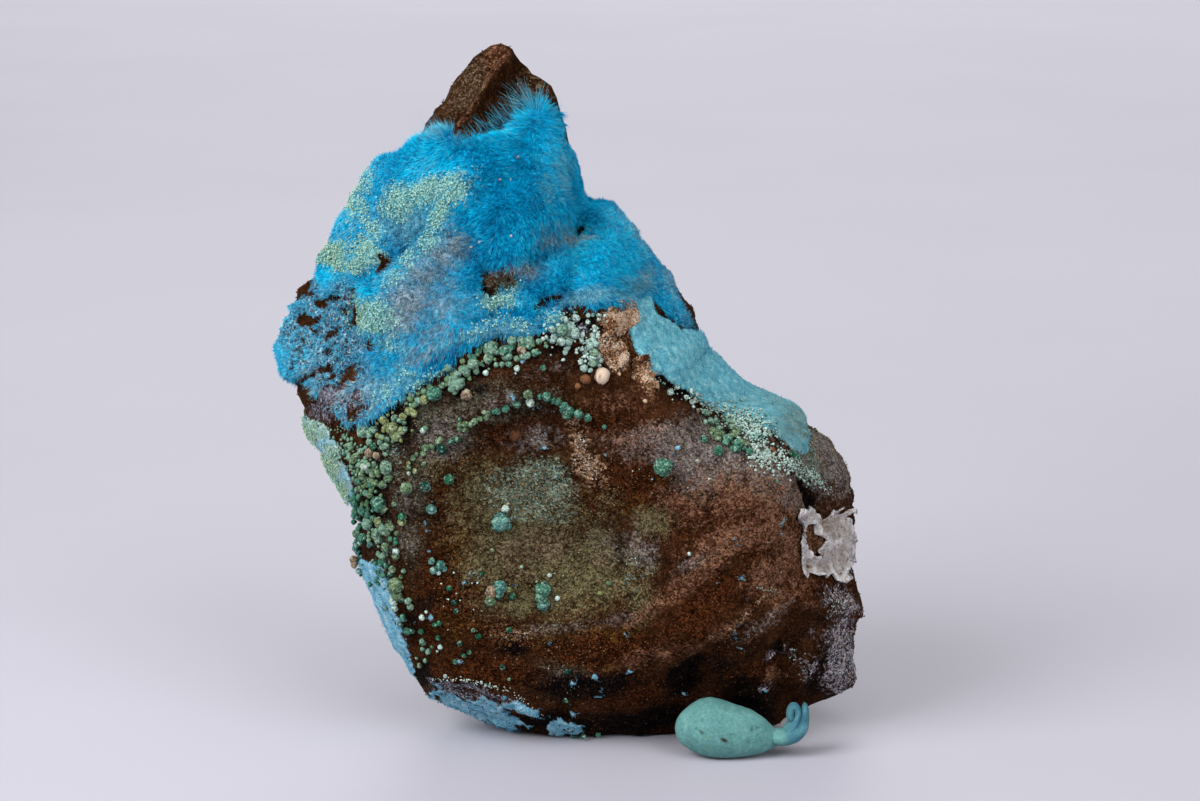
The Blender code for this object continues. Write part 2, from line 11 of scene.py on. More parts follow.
import bpy
import numpy as np
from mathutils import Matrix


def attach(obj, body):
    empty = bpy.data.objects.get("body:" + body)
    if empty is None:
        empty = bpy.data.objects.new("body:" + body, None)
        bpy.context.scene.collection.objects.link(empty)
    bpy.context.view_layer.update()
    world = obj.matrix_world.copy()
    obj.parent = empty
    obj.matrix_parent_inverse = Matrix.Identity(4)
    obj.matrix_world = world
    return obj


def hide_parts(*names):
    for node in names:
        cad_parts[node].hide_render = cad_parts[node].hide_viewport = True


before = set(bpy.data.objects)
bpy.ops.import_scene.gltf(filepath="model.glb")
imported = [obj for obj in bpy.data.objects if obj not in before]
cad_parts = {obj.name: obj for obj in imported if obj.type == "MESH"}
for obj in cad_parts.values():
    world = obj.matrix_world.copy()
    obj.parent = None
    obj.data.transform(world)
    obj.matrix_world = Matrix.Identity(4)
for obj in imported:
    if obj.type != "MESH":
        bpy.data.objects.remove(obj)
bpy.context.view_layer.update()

MM = 0.001
TO_ORIGIN = np.array([-0.2, -1.6, 0.0])  # from the rock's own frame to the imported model's

# ---------------------------------------------------------------- camera

TILT = math.radians(12)
DISTANCE = 233.3
LENS, SENSOR = 100.0, 36.0
TARGET = np.array([2.2, 0.0, 24.15])
PIXEL = 0.07  # size of a pixel at the target
FRAME_MIDDLE = np.array([600.0, 400.5])
EYE = TARGET + DISTANCE * np.array([0.0, -math.cos(TILT), math.sin(TILT)])


def seen_at(points):
    """Camera pixels of points: offsets across and up, divided by their depth along the camera's axis."""
    ray = points - EYE
    depth = ray[..., 1] * math.cos(TILT) - ray[..., 2] * math.sin(TILT)
    up = ray[..., 1] * math.sin(TILT) + ray[..., 2] * math.cos(TILT)
    scale = DISTANCE / depth / PIXEL
    return np.stack([FRAME_MIDDLE[0] + ray[..., 0] * scale, FRAME_MIDDLE[1] - up * scale], axis=-1)


def sight_lines(places):
    """Unit vectors from the camera towards pixels: seen_at turned round."""
    across = (places[..., 0] - FRAME_MIDDLE[0]) * PIXEL / DISTANCE
    up = (FRAME_MIDDLE[1] - places[..., 1]) * PIXEL / DISTANCE
    ahead = np.array([0.0, math.cos(TILT), -math.sin(TILT)])
    above = np.array([0.0, math.sin(TILT), math.cos(TILT)])
    return unit(ahead + across[..., None] * np.array([1.0, 0, 0]) + up[..., None] * above)


def add_camera():
    data = bpy.data.cameras.new("camera")
    data.lens, data.sensor_width, data.clip_start = LENS, SENSOR, 0.01
    camera = bpy.data.objects.new("camera", data)
    camera.location = (EYE + TO_ORIGIN) * MM
    camera.rotation_euler = (math.pi / 2 - TILT, 0, 0)
    bpy.context.collection.objects.link(camera)
    bpy.context.scene.camera = camera


# ---------------------------------------------------------------- the rock's driving shape, as in the CAD

CENTRE = (-0.3, 20.6)

# The rim seen from the front, clockwise from the tip: x, z, and the rim's depth y.
RIM = [
    (-4.8, 48.7, 4.5), (-3.7, 48.1, 4.5), (-2.7, 47.0, 4.5), (-1.4, 46.0, 4.0), (-0.7, 44.6, 4.0),
    (-0.1, 42.6, 4.0), (0.6, 40.4, 4.0), (1.5, 38.5, 4.0), (3.0, 37.6, 4.0), (4.6, 36.1, 4.0),
    (5.6, 34.2, 4.0), (7.0, 32.5, 4.0), (8.1, 30.6, 4.0), (9.0, 28.8, 4.0), (10.3, 27.0, 4.0),
    (12.3, 25.3, 4.0), (14.7, 23.5, 4.0), (16.8, 22.2, 4.0), (18.6, 20.4, 4.0), (19.9, 18.6, 4.0),
    (20.5, 16.2, 3.8), (20.2, 14.2, 3.4), (20.0, 11.8, 3.0), (20.6, 10.4, 2.2), (20.9, 8.6, 2.0),
    (20.3, 6.2, 2.4), (20.3, 2.9, 2.4), (19.1, 2.0, 2.0), (17.0, 1.7, 1.5), (15.4, 0.8, 0.5),
    (13.2, -0.4, 0.5), (8.0, -1.3, 0.5), (2.2, -1.5, 0.8), (-1.8, -0.8, 1.0), (-5.0, 0.5, 1.5),
    (-8.4, 1.7, 2.0), (-10.4, 2.7, 2.0), (-11.1, 3.9, 2.2), (-12.7, 6.0, 2.5), (-13.8, 8.6, 2.5),
    (-15.4, 11.7, 2.8), (-15.7, 13.6, 3.0), (-15.8, 15.5, 3.0), (-17.2, 18.2, 3.6), (-18.6, 20.8, 3.8),
    (-19.8, 24.1, 3.2), (-20.8, 27.5, 3.0), (-20.2, 29.2, 3.0), (-19.5, 30.7, 3.0), (-18.0, 32.6, 3.0),
    (-17.5, 34.2, 3.0), (-15.8, 37.3, 3.0), (-14.4, 39.9, 3.0), (-13.4, 41.0, 3.0), (-12.0, 41.3, 3.2),
    (-10.4, 42.6, 3.6), (-9.0, 44.9, 4.0), (-7.6, 46.6, 4.2), (-6.4, 48.1, 4.4),
]

# Front relief: x, z and the depth y that the face has there (negative is nearer to the viewer).
FRONT = [
    # brown tip: a ridge that runs down to the left, with a hollow to its right
    (-4.9, 47.6, 1.6), (-6.7, 44.7, -1.2), (-7.7, 43.1, -2.0), (-3.3, 45.3, 0.8), (-1.6, 44.2, 0.2),
    # velvet shoulder and its dome
    (-1.9, 41.7, -3.8), (-9.4, 40.1, -3.0), (-11.9, 39.0, -1.0), (-4.5, 39.2, -6.0), (-0.5, 37.7, -5.0),
    (0.9, 36.6, -3.2), (2.4, 36.6, -3.6), (5.0, 33.6, -1.0), (2.2, 34.3, -6.5), (5.6, 31.9, -5.0),
    (-4.5, 36.1, -7.5), (-8.6, 35.8, -6.0), (-14.3, 35.1, -2.0), (-11.3, 32.5, -6.3), (-4.6, 33.0, -5.7),
    (-0.5, 32.7, -7.5), (-7.9, 30.0, -8.0), (-12.7, 29.6, -6.0), (-16.3, 29.1, -3.5), (-18.8, 28.7, -1.0),
    # right shoulder under the pale band
    (3.5, 31.4, -8.2), (4.9, 29.6, -8.2), (8.3, 27.3, -7.0), (8.4, 29.3, -1.5), (10.6, 26.3, -2.5),
    (14.8, 22.9, -2.5), (13.1, 23.0, -6.5), (9.0, 25.4, -8.0), (17.6, 20.8, -2.0), (19.0, 18.4, 0.0),
    # bare face: a shallow basin with a raised lower lip, and the dark slot on the right
    (17.1, 17.8, -3.2), (15.2, 18.6, -6.5), (4.9, 24.5, -8.0), (10.3, 21.8, -8.2), (-0.5, 25.8, -7.6),
    (-5.9, 24.3, -7.2), (-10.0, 23.0, -7.5), (-11.4, 18.9, -8.0), (-8.8, 17.2, -6.6), (-2.6, 17.6, -5.4),
    (-0.6, 13.9, -5.0), (2.2, 16.9, -5.4), (5.0, 11.5, -6.4), (6.3, 8.9, -7.5), (9.0, 14.6, -7.5),
    (-9.5, 11.6, -7.0), (-10.3, 7.8, -5.8), (-6.8, 8.8, -7.0), (13.2, 13.0, -7.2), (16.0, 11.3, -6.0),
    (19.0, 10.5, -3.0), (9.1, 8.5, -8.3),
    # undercut foot, with the toe that stands on the putty
    (-8.2, 5.6, -5.8), (-3.4, 4.1, -5.6), (2.2, 3.4, -5.6), (0.8, 0.4, -3.4), (5.0, 2.2, -4.6),
    (5.0, 0.2, -3.0), (7.8, 3.4, -4.0), (11.0, 3.6, -3.8), (11.9, 7.3, -6.8), (13.9, 3.6, -5.8),
    (15.6, 5.9, -5.4), (16.4, 3.0, -1.8), (18.4, 4.8, -3.4), (14.0, 0.8, -2.2),
]

# Back relief: a broken face, fullest in the middle.
BACK = [
    (-4.8, 46.5, 5.8), (-5.0, 42.0, 7.6), (-12.5, 38.5, 5.4), (-3.0, 36.0, 9.4), (3.0, 35.0, 7.0),
    (-14.0, 30.0, 6.8), (-1.0, 31.0, 10.8), (6.0, 28.0, 9.0), (-16.0, 24.0, 6.2), (-6.0, 22.0, 10.6),
    (3.0, 22.0, 11.6), (12.0, 21.5, 8.6), (16.5, 16.0, 8.0), (-11.0, 15.0, 7.8), (-2.0, 13.0, 10.8),
    (8.0, 12.0, 11.2), (15.0, 9.0, 9.6), (-9.0, 8.0, 6.6), (-3.0, 5.0, 8.6), (5.0, 3.5, 9.6),
    (13.0, 3.0, 8.4), (18.0, 5.0, 6.0),
]

# How square the edge between the face and the rim is, by meridian angle in degrees: front, back.
EDGE = [
    (-180, 3.6, 2.6), (-150, 4.2, 2.4), (-120, 3.4, 2.8), (-90, 3.4, 3.4), (-60, 3.2, 3.4), (-30, 3.4, 2.8),
    (0, 4.2, 2.6), (30, 2.8, 2.4), (60, 2.4, 2.4), (90, 2.6, 2.6), (105, 2.8, 2.8), (130, 3.0, 2.6),
    (155, 3.0, 2.6),
]

# How far the crusts stand out from the rock along the rim, by meridian angle in degrees.
COVER = [
    (-180, 1.35), (-163, 1.25), (-150, 1.0), (-125, 0.6), (-118, 0.25), (-60, 0.25), (-45, 0.0), (-18, 0.0),
    (-8, 0.1), (-1, 0.0), (4, 0.7), (7, 0.5), (11, 1.25), (15, 1.5), (25, 1.1), (36, 0.95), (41, 0.2),
    (48, -0.05), (56, 0.15), (61, 0.75), (66, 0.75), (70, 0.45), (73, 0.2), (80, 0.2), (84, 0.3), (86, 1.3),
    (88, 2.1), (90, 1.8), (92, 0.7), (95, 0.25), (98, 0.0), (102, 0.1), (107, 0.15), (112, 0.35), (120, 0.5),
    (124, 0.9), (127, 1.35), (131, 1.0), (135, 0.5), (140, 0.8), (146, 0.12), (150, -0.1), (154, 0.4),
    (158, 0.4), (163, 0.3), (168, 0.5), (172, 0.4), (176, 0.8),
]

ROUGH_SIZE, ROUGH_DEPTH, RIM_ROUGH = 4.5, 0.55, 0.3
ANGLES, REACHES = 960, 321  # the skin table's meridians, and the places along each


def scrambled(cells, salt):
    """A random whole number for each cell of a lattice."""
    mixed = (cells[..., 0] * 73856093) ^ (cells[..., 1] * 19349663) ^ (cells[..., 2] * 83492791) ^ salt
    return (mixed ^ (mixed >> 13)) * 1274126177 & 0x7FFFFFFF


def lattice_noise(points, seed):
    """Smooth noise from -1 to 1: a random value at each corner of a unit lattice, blended between them."""
    cell = np.floor(points).astype(np.int64)
    within = points - cell
    within = within * within * (3.0 - 2.0 * within)
    total = np.zeros(points.shape[:-1])
    for corner in np.ndindex(2, 2, 2):
        mixed = scrambled(cell + np.array(corner), seed * 2654435)
        value = ((mixed ^ (mixed >> 11)) & 0xFFFF) / 32767.5 - 1.0
        share = np.where(np.array(corner) == 1, within, 1.0 - within)
        total += value * share.prod(axis=-1)
    return total


def cloud(points, size, seed, octaves=4, fade=0.5):
    """Lattice noise summed over octaves, each half the size of the one before and fade times as strong."""
    total, weight, reached = 0.0, 1.0, 0.0
    for octave in range(octaves):
        moved = points * (2.0**octave / size) + 17.3 * (octave + seed)
        total = total + weight * lattice_noise(moved, seed + octave)
        reached += weight
        weight *= fade
    return total / reached


def crags(points, size, seed, octaves=4):
    """Sharp crests where noise crosses zero: one minus its absolute value, squared, summed over octaves."""
    total, weight = 0.0, 1.0
    for octave in range(octaves):
        wave = lattice_noise(points * (2.0**octave / size) + 9.1 * (octave + seed), seed + 40 + octave)
        total = total + weight * (1 - np.abs(wave)) ** 2
        weight *= 0.5
    return total - 1.0


def facets(points, size, seed):
    """Flat-sided chips: distance to the nearest of random points, one in each cell of a lattice."""
    at = points / size
    cell = np.floor(at).astype(np.int64)
    nearest = np.full(points.shape[:-1], 9.0)
    for step in np.ndindex(3, 3, 3):
        other = cell + np.array(step) - 1
        mixed = scrambled(other, seed * 77377)
        offset = np.stack([((mixed >> shift) & 0x3FF) / 1023.0 for shift in (2, 11, 20)], axis=-1)
        nearest = np.minimum(nearest, np.linalg.norm(other + offset - at, axis=-1))
    return nearest


def unit(vectors):
    return vectors / (np.linalg.norm(vectors, axis=-1, keepdims=True) + 1e-12)


def step_up(low, high, value):
    """Smooth climb from 0 at low to 1 at high."""
    share = np.clip((value - low) / (high - low), 0, 1)
    return share * share * (3 - 2 * share)


def thin_plate(points):
    """The smoothest surface y(x, z) through the points, as a function."""
    known = np.array(points, float)
    count = len(known)

    def kernel(x, z):
        squared = (x[..., None] - known[:, 0]) ** 2 + (z[..., None] - known[:, 1]) ** 2
        return squared * np.log(squared + 1e-9)

    system = np.zeros((count + 3, count + 3))
    system[:count, :count] = kernel(known[:, 0], known[:, 1]) + 0.5 * np.eye(count)
    flat = np.column_stack([np.ones(count), known[:, 0], known[:, 1]])
    system[:count, count:] = flat
    system[count:, :count] = flat.T
    weights = np.linalg.solve(system, np.append(known[:, 2], np.zeros(3)))

    def surface(x, z):
        plane = weights[count] + weights[count + 1] * x + weights[count + 2] * z
        return kernel(x, z) @ weights[:count] + plane

    return surface


def rim_at(angles):
    """Radius and depth of the rim at each angle: where a ray from the centre meets the outline's sides."""
    x, z, depth = np.array(RIM).T
    bearing = np.arctan2(z - CENTRE[1], x - CENTRE[0])
    radius = np.hypot(x - CENTRE[0], z - CENTRE[1])
    order = np.argsort(bearing)
    bearing, radius, depth = bearing[order], radius[order], depth[order]
    bearing = np.concatenate([[bearing[-1] - 2 * math.pi], bearing, [bearing[0] + 2 * math.pi]])
    radius = np.concatenate([[radius[-1]], radius, [radius[0]]])
    depth = np.concatenate([[depth[-1]], depth, [depth[0]]])
    at = np.clip(np.searchsorted(bearing, angles, side="right") - 1, 0, len(bearing) - 2)
    before, after = bearing[at], bearing[at + 1]
    near, far = radius[at], radius[at + 1]
    across = near * np.sin(angles - before) + far * np.sin(after - angles)
    share = (angles - before) / (after - before)
    return near * far * np.sin(after - before) / across, depth[at] * (1 - share) + depth[at + 1] * share


def bare_skin():
    """The smooth skin, evenly spaced in angle and along each meridian, with the camera pixel of every place.

    Behind the rim the pixel is that of the place unfolded outwards, so an outline drawn past the rim wraps
    round it.
    """
    angles = -math.pi + 2 * math.pi * np.arange(ANGLES) / ANGLES
    radius, rim_depth = rim_at(angles)
    bearing, cover = np.array(COVER, float).T
    radius = radius - np.interp(np.degrees(angles), bearing, cover, period=360)
    bearing, *squareness = np.array(EDGE, float).T
    front_edge, back_edge = (np.interp(np.degrees(angles), bearing, edge, period=360) for edge in squareness)
    swing = np.linspace(0, math.pi / 2, 120)
    table, shares = [], []
    for points, edge in ((FRONT, front_edge), (BACK, back_edge)):
        outward = np.sin(swing)[None, :] ** (2 / edge[:, None])
        fullness = np.cos(swing)[None, :] ** (2 / edge[:, None])
        x = CENTRE[0] + outward * (radius * np.cos(angles))[:, None]
        z = CENTRE[1] + outward * (radius * np.sin(angles))[:, None]
        relief = np.clip(thin_plate(points)(x, z), -9.0, 12.5)
        y = rim_depth[:, None] + (relief - rim_depth[:, None]) * fullness
        half = np.stack([x, y, z], axis=-1)
        steps = np.linalg.norm(np.diff(half, axis=1), axis=2)
        along = np.concatenate([np.zeros((ANGLES, 1)), np.cumsum(steps, axis=1)], axis=1)
        along /= along[:, -1:]
        even = np.linspace(0, 1, (REACHES + 1) // 2)
        table.append(np.array([
            [np.interp(even, along[i], half[i, :, k]) for k in range(3)] for i in range(ANGLES)
        ]).transpose(0, 2, 1))
        shares.append(np.array([np.interp(even, along[i], outward[i]) for i in range(ANGLES)]))
    skin = np.concatenate([table[0], table[1][:, -2::-1]], axis=1)
    share = np.concatenate([shares[0], 2 - shares[1][:, -2::-1]], axis=1)
    unfolded = np.stack([
        CENTRE[0] + share * (radius * np.cos(angles))[:, None],
        np.minimum(skin[..., 1], rim_depth[:, None]),
        CENTRE[1] + share * (radius * np.sin(angles))[:, None],
    ], axis=-1)
    return skin, seen_at(unfolded)


def outward_normals(skin):
    """Unit normals of a skin table, from the central differences along its two directions."""
    round_way = np.roll(skin, -1, axis=0) - np.roll(skin, 1, axis=0)
    along = np.gradient(skin, axis=1)
    normal = np.cross(along, round_way)
    normal = unit(normal)
    normal[:, 0] = normal[:, 1].mean(axis=0)
    normal[:, -1] = normal[:, -2].mean(axis=0)
    return unit(normal)


# ---------------------------------------------------------------- what covers the rock, in camera pixels

VELVET = [
    (246, 430), (228, 360), (236, 290), (262, 225), (300, 150), (352, 130), (398, 141), (420, 138),
    (432, 134), (442, 126), (451, 127), (458, 137), (470, 146), (487, 134), (503, 128), (518, 121),
    (529, 111), (539, 105), (549, 115), (555, 130), (562, 148), (590, 152), (622, 178), (664, 200),
    (684, 240), (668, 262), (665, 277), (677, 297), (684, 314), (693, 334), (687, 331), (672, 326),
    (660, 315), (650, 302), (640, 300), (626, 308), (606, 312), (590, 311), (574, 307), (558, 308),
    (560, 318), (566, 330), (548, 332), (524, 337), (500, 338), (478, 346), (462, 355), (448, 366),
    (436, 378), (420, 387), (402, 399), (386, 413), (370, 423), (356, 429), (344, 424), (331, 408),
    (316, 398), (298, 396), (276, 400),
]
BAND = [
    (618, 308), (630, 301), (643, 297), (648, 306), (654, 317), (664, 323), (674, 331), (690, 334),
    (706, 332), (722, 338), (750, 352), (772, 366), (792, 384), (800, 402), (804, 424), (806, 438),
    (804, 456), (798, 459), (788, 453), (778, 444), (766, 436), (752, 424), (738, 414), (722, 406),
    (706, 398), (692, 393), (676, 386), (660, 376), (648, 368), (638, 358), (632, 344), (628, 330),
    (624, 316),
]
STRIP = [
    (280, 412), (303, 415), (322, 424), (338, 444), (350, 468), (356, 494), (358, 514), (350, 522),
    (334, 524), (300, 480), (276, 440),
]
FLANK = [
    (336, 546), (359, 558), (378, 561), (386, 574), (394, 595), (402, 617), (408, 634), (414, 653),
    (419, 669), (417, 677), (400, 676), (366, 640), (340, 590),
]
OCHRE = [
    [(607, 311), (615, 302), (632, 311), (632, 326), (625, 332), (630, 354), (627, 362), (617, 371),
     (610, 363), (600, 354), (601, 340), (609, 330), (605, 318)],
    [(637, 358), (645, 359), (649, 369), (655, 376), (660, 384), (655, 392), (649, 398), (642, 390),
     (638, 374)],
]

# Soft spots: x, y, half width and half height, then strength and degrees of turn if not the usual.
USUAL_SPOT = (1, 0)
MINT = [
    (434, 193, 38, 12, 1, 12), (404, 202, 22, 15, 0.9, 20), (462, 194, 14, 15, 1, 12),
    (447, 216, 12, 20, 1, -22), (434, 246, 14, 18, 0.7, -30), (366, 186, 11, 28, 0.75, -22),
    (364, 212, 11, 18, 0.6, -6), (362, 266, 10, 8, 0.8), (376, 230, 9, 20, 0.6, 24),
    (340, 254, 19, 10, 0.85, 10), (370, 252, 14, 14, 0.8), (330, 262, 10, 6, 1, -20),
    (400, 282, 16, 18, 0.5, -35), (345, 268, 10, 8, 0.9), (376, 318, 24, 15, 1.2, -10),
    (362, 316, 9, 9, 1.1), (414, 262, 14, 12, 0.6, -35), (500, 304, 20, 10), (512, 288, 11, 8, 0.9),
    (486, 330, 34, 9, 0.45, 20), (524, 330, 20, 8, 0.5, 6), (408, 374, 12, 14, 0.5), (390, 395, 18, 12, 0.5),
    (560, 320, 14, 8, 0.6), (430, 382, 24, 8, 0.6, 30), (396, 345, 14, 10, 0.5), (318, 428, 18, 12, 0.9),
    (336, 462, 14, 22, 0.8), (346, 488, 10, 14, 0.7),
]
VIOLET = [
    (460, 247, 10, 14, 1, -10), (446, 262, 12, 12, 0.9), (432, 280, 18, 16, 0.9, 30),
    (414, 304, 16, 20, 1.1, -30), (404, 320, 15, 13), (440, 306, 16, 16, 0.6), (436, 336, 20, 12, 0.5, 20),
    (575, 240, 18, 7, 1.1), (552, 243, 14, 7, 0.5, 10), (524, 270, 16, 8, 1.1), (420, 355, 24, 10, 0.5, 20),
    (350, 396, 26, 16), (320, 372, 16, 14, 0.6), (636, 279, 8, 10, 0.5), (640, 230, 16, 30, 0.35, 34),
    (668, 284, 10, 24, 0.5, 24), (520, 96, 12, 6, 0.4),
]
LACE = [
    (322, 330, 34, 30), (290, 330, 20, 36, 0.65, 10), (345, 298, 16, 20, 0.9), (304, 358, 22, 18, 0.65),
    (340, 372, 30, 24), (350, 345, 18, 14, 0.9), (384, 262, 12, 10, 0.7), (310, 292, 14, 20, 0.9, 30),
    (350, 408, 26, 17, 0.95),
]
DUST = [(334, 398, 22, 14), (318, 414, 18, 14, 0.7), (352, 398, 18, 14, 0.8), (340, 345, 20, 8, 0.5)]
BARE = [
    (307, 280, 7, 18, 1.4, -34), (298, 298, 5, 9, 1, -30), (384, 258, 7, 5, 1.2, -20), (379, 268, 5, 8, 1.2),
    (377, 281, 3, 6, 0.9), (405, 252, 3, 9, 0.9), (350, 294, 4, 9), (353, 312, 4, 12, 1.1, -14),
    (334, 298, 6, 5), (341, 310, 5, 4, 1, 20), (312, 320, 4, 7, 0.8, 10), (296, 366, 4, 9, 0.8, -8),
    (675, 284, 4.5, 9, 1.6, 25), (684, 303, 5, 12, 1.8, 25), (695, 322, 6, 12, 1.8, 25),
    (310, 376, 9, 5, 0.8), (352, 374, 9, 11), (371, 344, 7, 8, 0.9), (330, 352, 8, 6, 0.7),
    (330, 368, 5, 5, 0.9), (500, 279, 17, 11, 1.6, -10), (491, 287, 9, 12, 1.3), (584, 225, 5, 4.5, 2),
    (552, 300, 10, 5, 1.1, 10), (541, 307, 6, 8, 1.1), (330, 396, 10, 12, 0.9, 20), (344, 386, 7, 9, 0.8),
    (316, 404, 14, 12, 0.9), (360, 396, 6, 9, 0.8, 20), (300, 392, 14, 16, 1, -20), (318, 430, 14, 12, 0.9),
    (306, 320, 8, 7, 1.1), (322, 304, 8, 6, 0.9), (318, 332, 4, 4, 0.8), (339, 357, 5, 4, 0.8),
]
# Painted shade: spots where the velvet is made darker, in its hollows and along its lower border.
SHADE_SPOTS = [
    (476, 240, 18, 26, 0.6), (524, 212, 20, 24, 0.3), (566, 196, 10, 12, 0.5), (398, 246, 10, 13, 1.2),
    (535, 296, 16, 10, 0.7), (405, 158, 30, 10, 0.6, 14), (500, 222, 18, 24, 0.6), (521, 104, 14, 8, 1.3),
    (452, 158, 20, 6, 0.5, 10), (558, 302, 17, 7, 1.4), (540, 322, 14, 8, 0.7), (500, 322, 24, 8, 0.6),
    (434, 374, 16, 7, 1.2, 40), (408, 358, 24, 8, 0.7, 20), (446, 358, 22, 8, 1.4, 24),
    (486, 339, 36, 6, 1.2, 8), (524, 318, 14, 9, 0.9), (468, 338, 16, 8, 0.5), (496, 180, 26, 10, 0.6, 10),
    (559, 292, 8, 5, 1.2), (496, 316, 8, 6, 0.8), (362, 268, 10, 4, 0.8, 20), (408, 338, 20, 7, 0.5, -10),
]
# Brighter cyan velvet, partly painted light on lobes and faces that turn away from the lamps.
BRIGHT_AND_LIT_SPOTS = [
    (568, 266, 24, 15, 1.2, -6), (600, 262, 30, 22, 1.1), (624, 266, 20, 16, 1.1), (562, 150, 14, 30),
    (618, 284, 14, 11, 1.2), (537, 112, 12, 8, 0.6), (560, 212, 20, 16, 0.6), (560, 250, 20, 8, 0.5),
    (470, 150, 40, 9, 0.3, 14), (553, 150, 12, 34, 1.2), (374, 289, 16, 10, 1, 36),
    (330, 276, 16, 10, 1, -10), (395, 360, 12, 12, 1.1), (372, 374, 6, 9, 0.9), (455, 316, 30, 12, 0.6, 20),
    (608, 290, 24, 8, 0.5), (350, 224, 12, 12, 0.4), (744, 368, 44, 9, 1, -38), (530, 304, 12, 7, 0.9, 20),
    (292, 346, 20, 18, 1.2), (632, 282, 12, 12, 0.9), (668, 306, 10, 16, 0.5, 28), (545, 262, 18, 10, 0.5),
    (576, 205, 10, 14, 0.5),
]
# Pale whitish fuzz; the spot at 632, 290 is painted light on a face that turns downwards.
PALE_FUZZ = [
    (556, 172, 7, 26, 0.6, 4), (541, 194, 7, 20, 0.5), (684, 320, 9, 16, 0.6, 26), (440, 128, 20, 10),
    (590, 300, 26, 6, 1, 6), (600, 298, 34, 6, 0.7, 4), (372, 392, 5, 16), (396, 384, 16, 10, 0.7),
    (436, 348, 30, 8, 0.6, 16), (408, 224, 24, 16), (664, 296, 6, 24, 0.5, 26), (500, 335, 40, 7, 0.6, 6),
    (410, 330, 8, 8, 0.5), (462, 310, 40, 16, 0.35, 20), (430, 246, 14, 18, 0.9, 10),
    (632, 290, 16, 10, 0.9), (618, 301, 14, 6), (644, 236, 20, 44, 0.5, 36), (552, 236, 18, 12, 0.6),
    (358, 190, 12, 36, 0.5, -24),
]
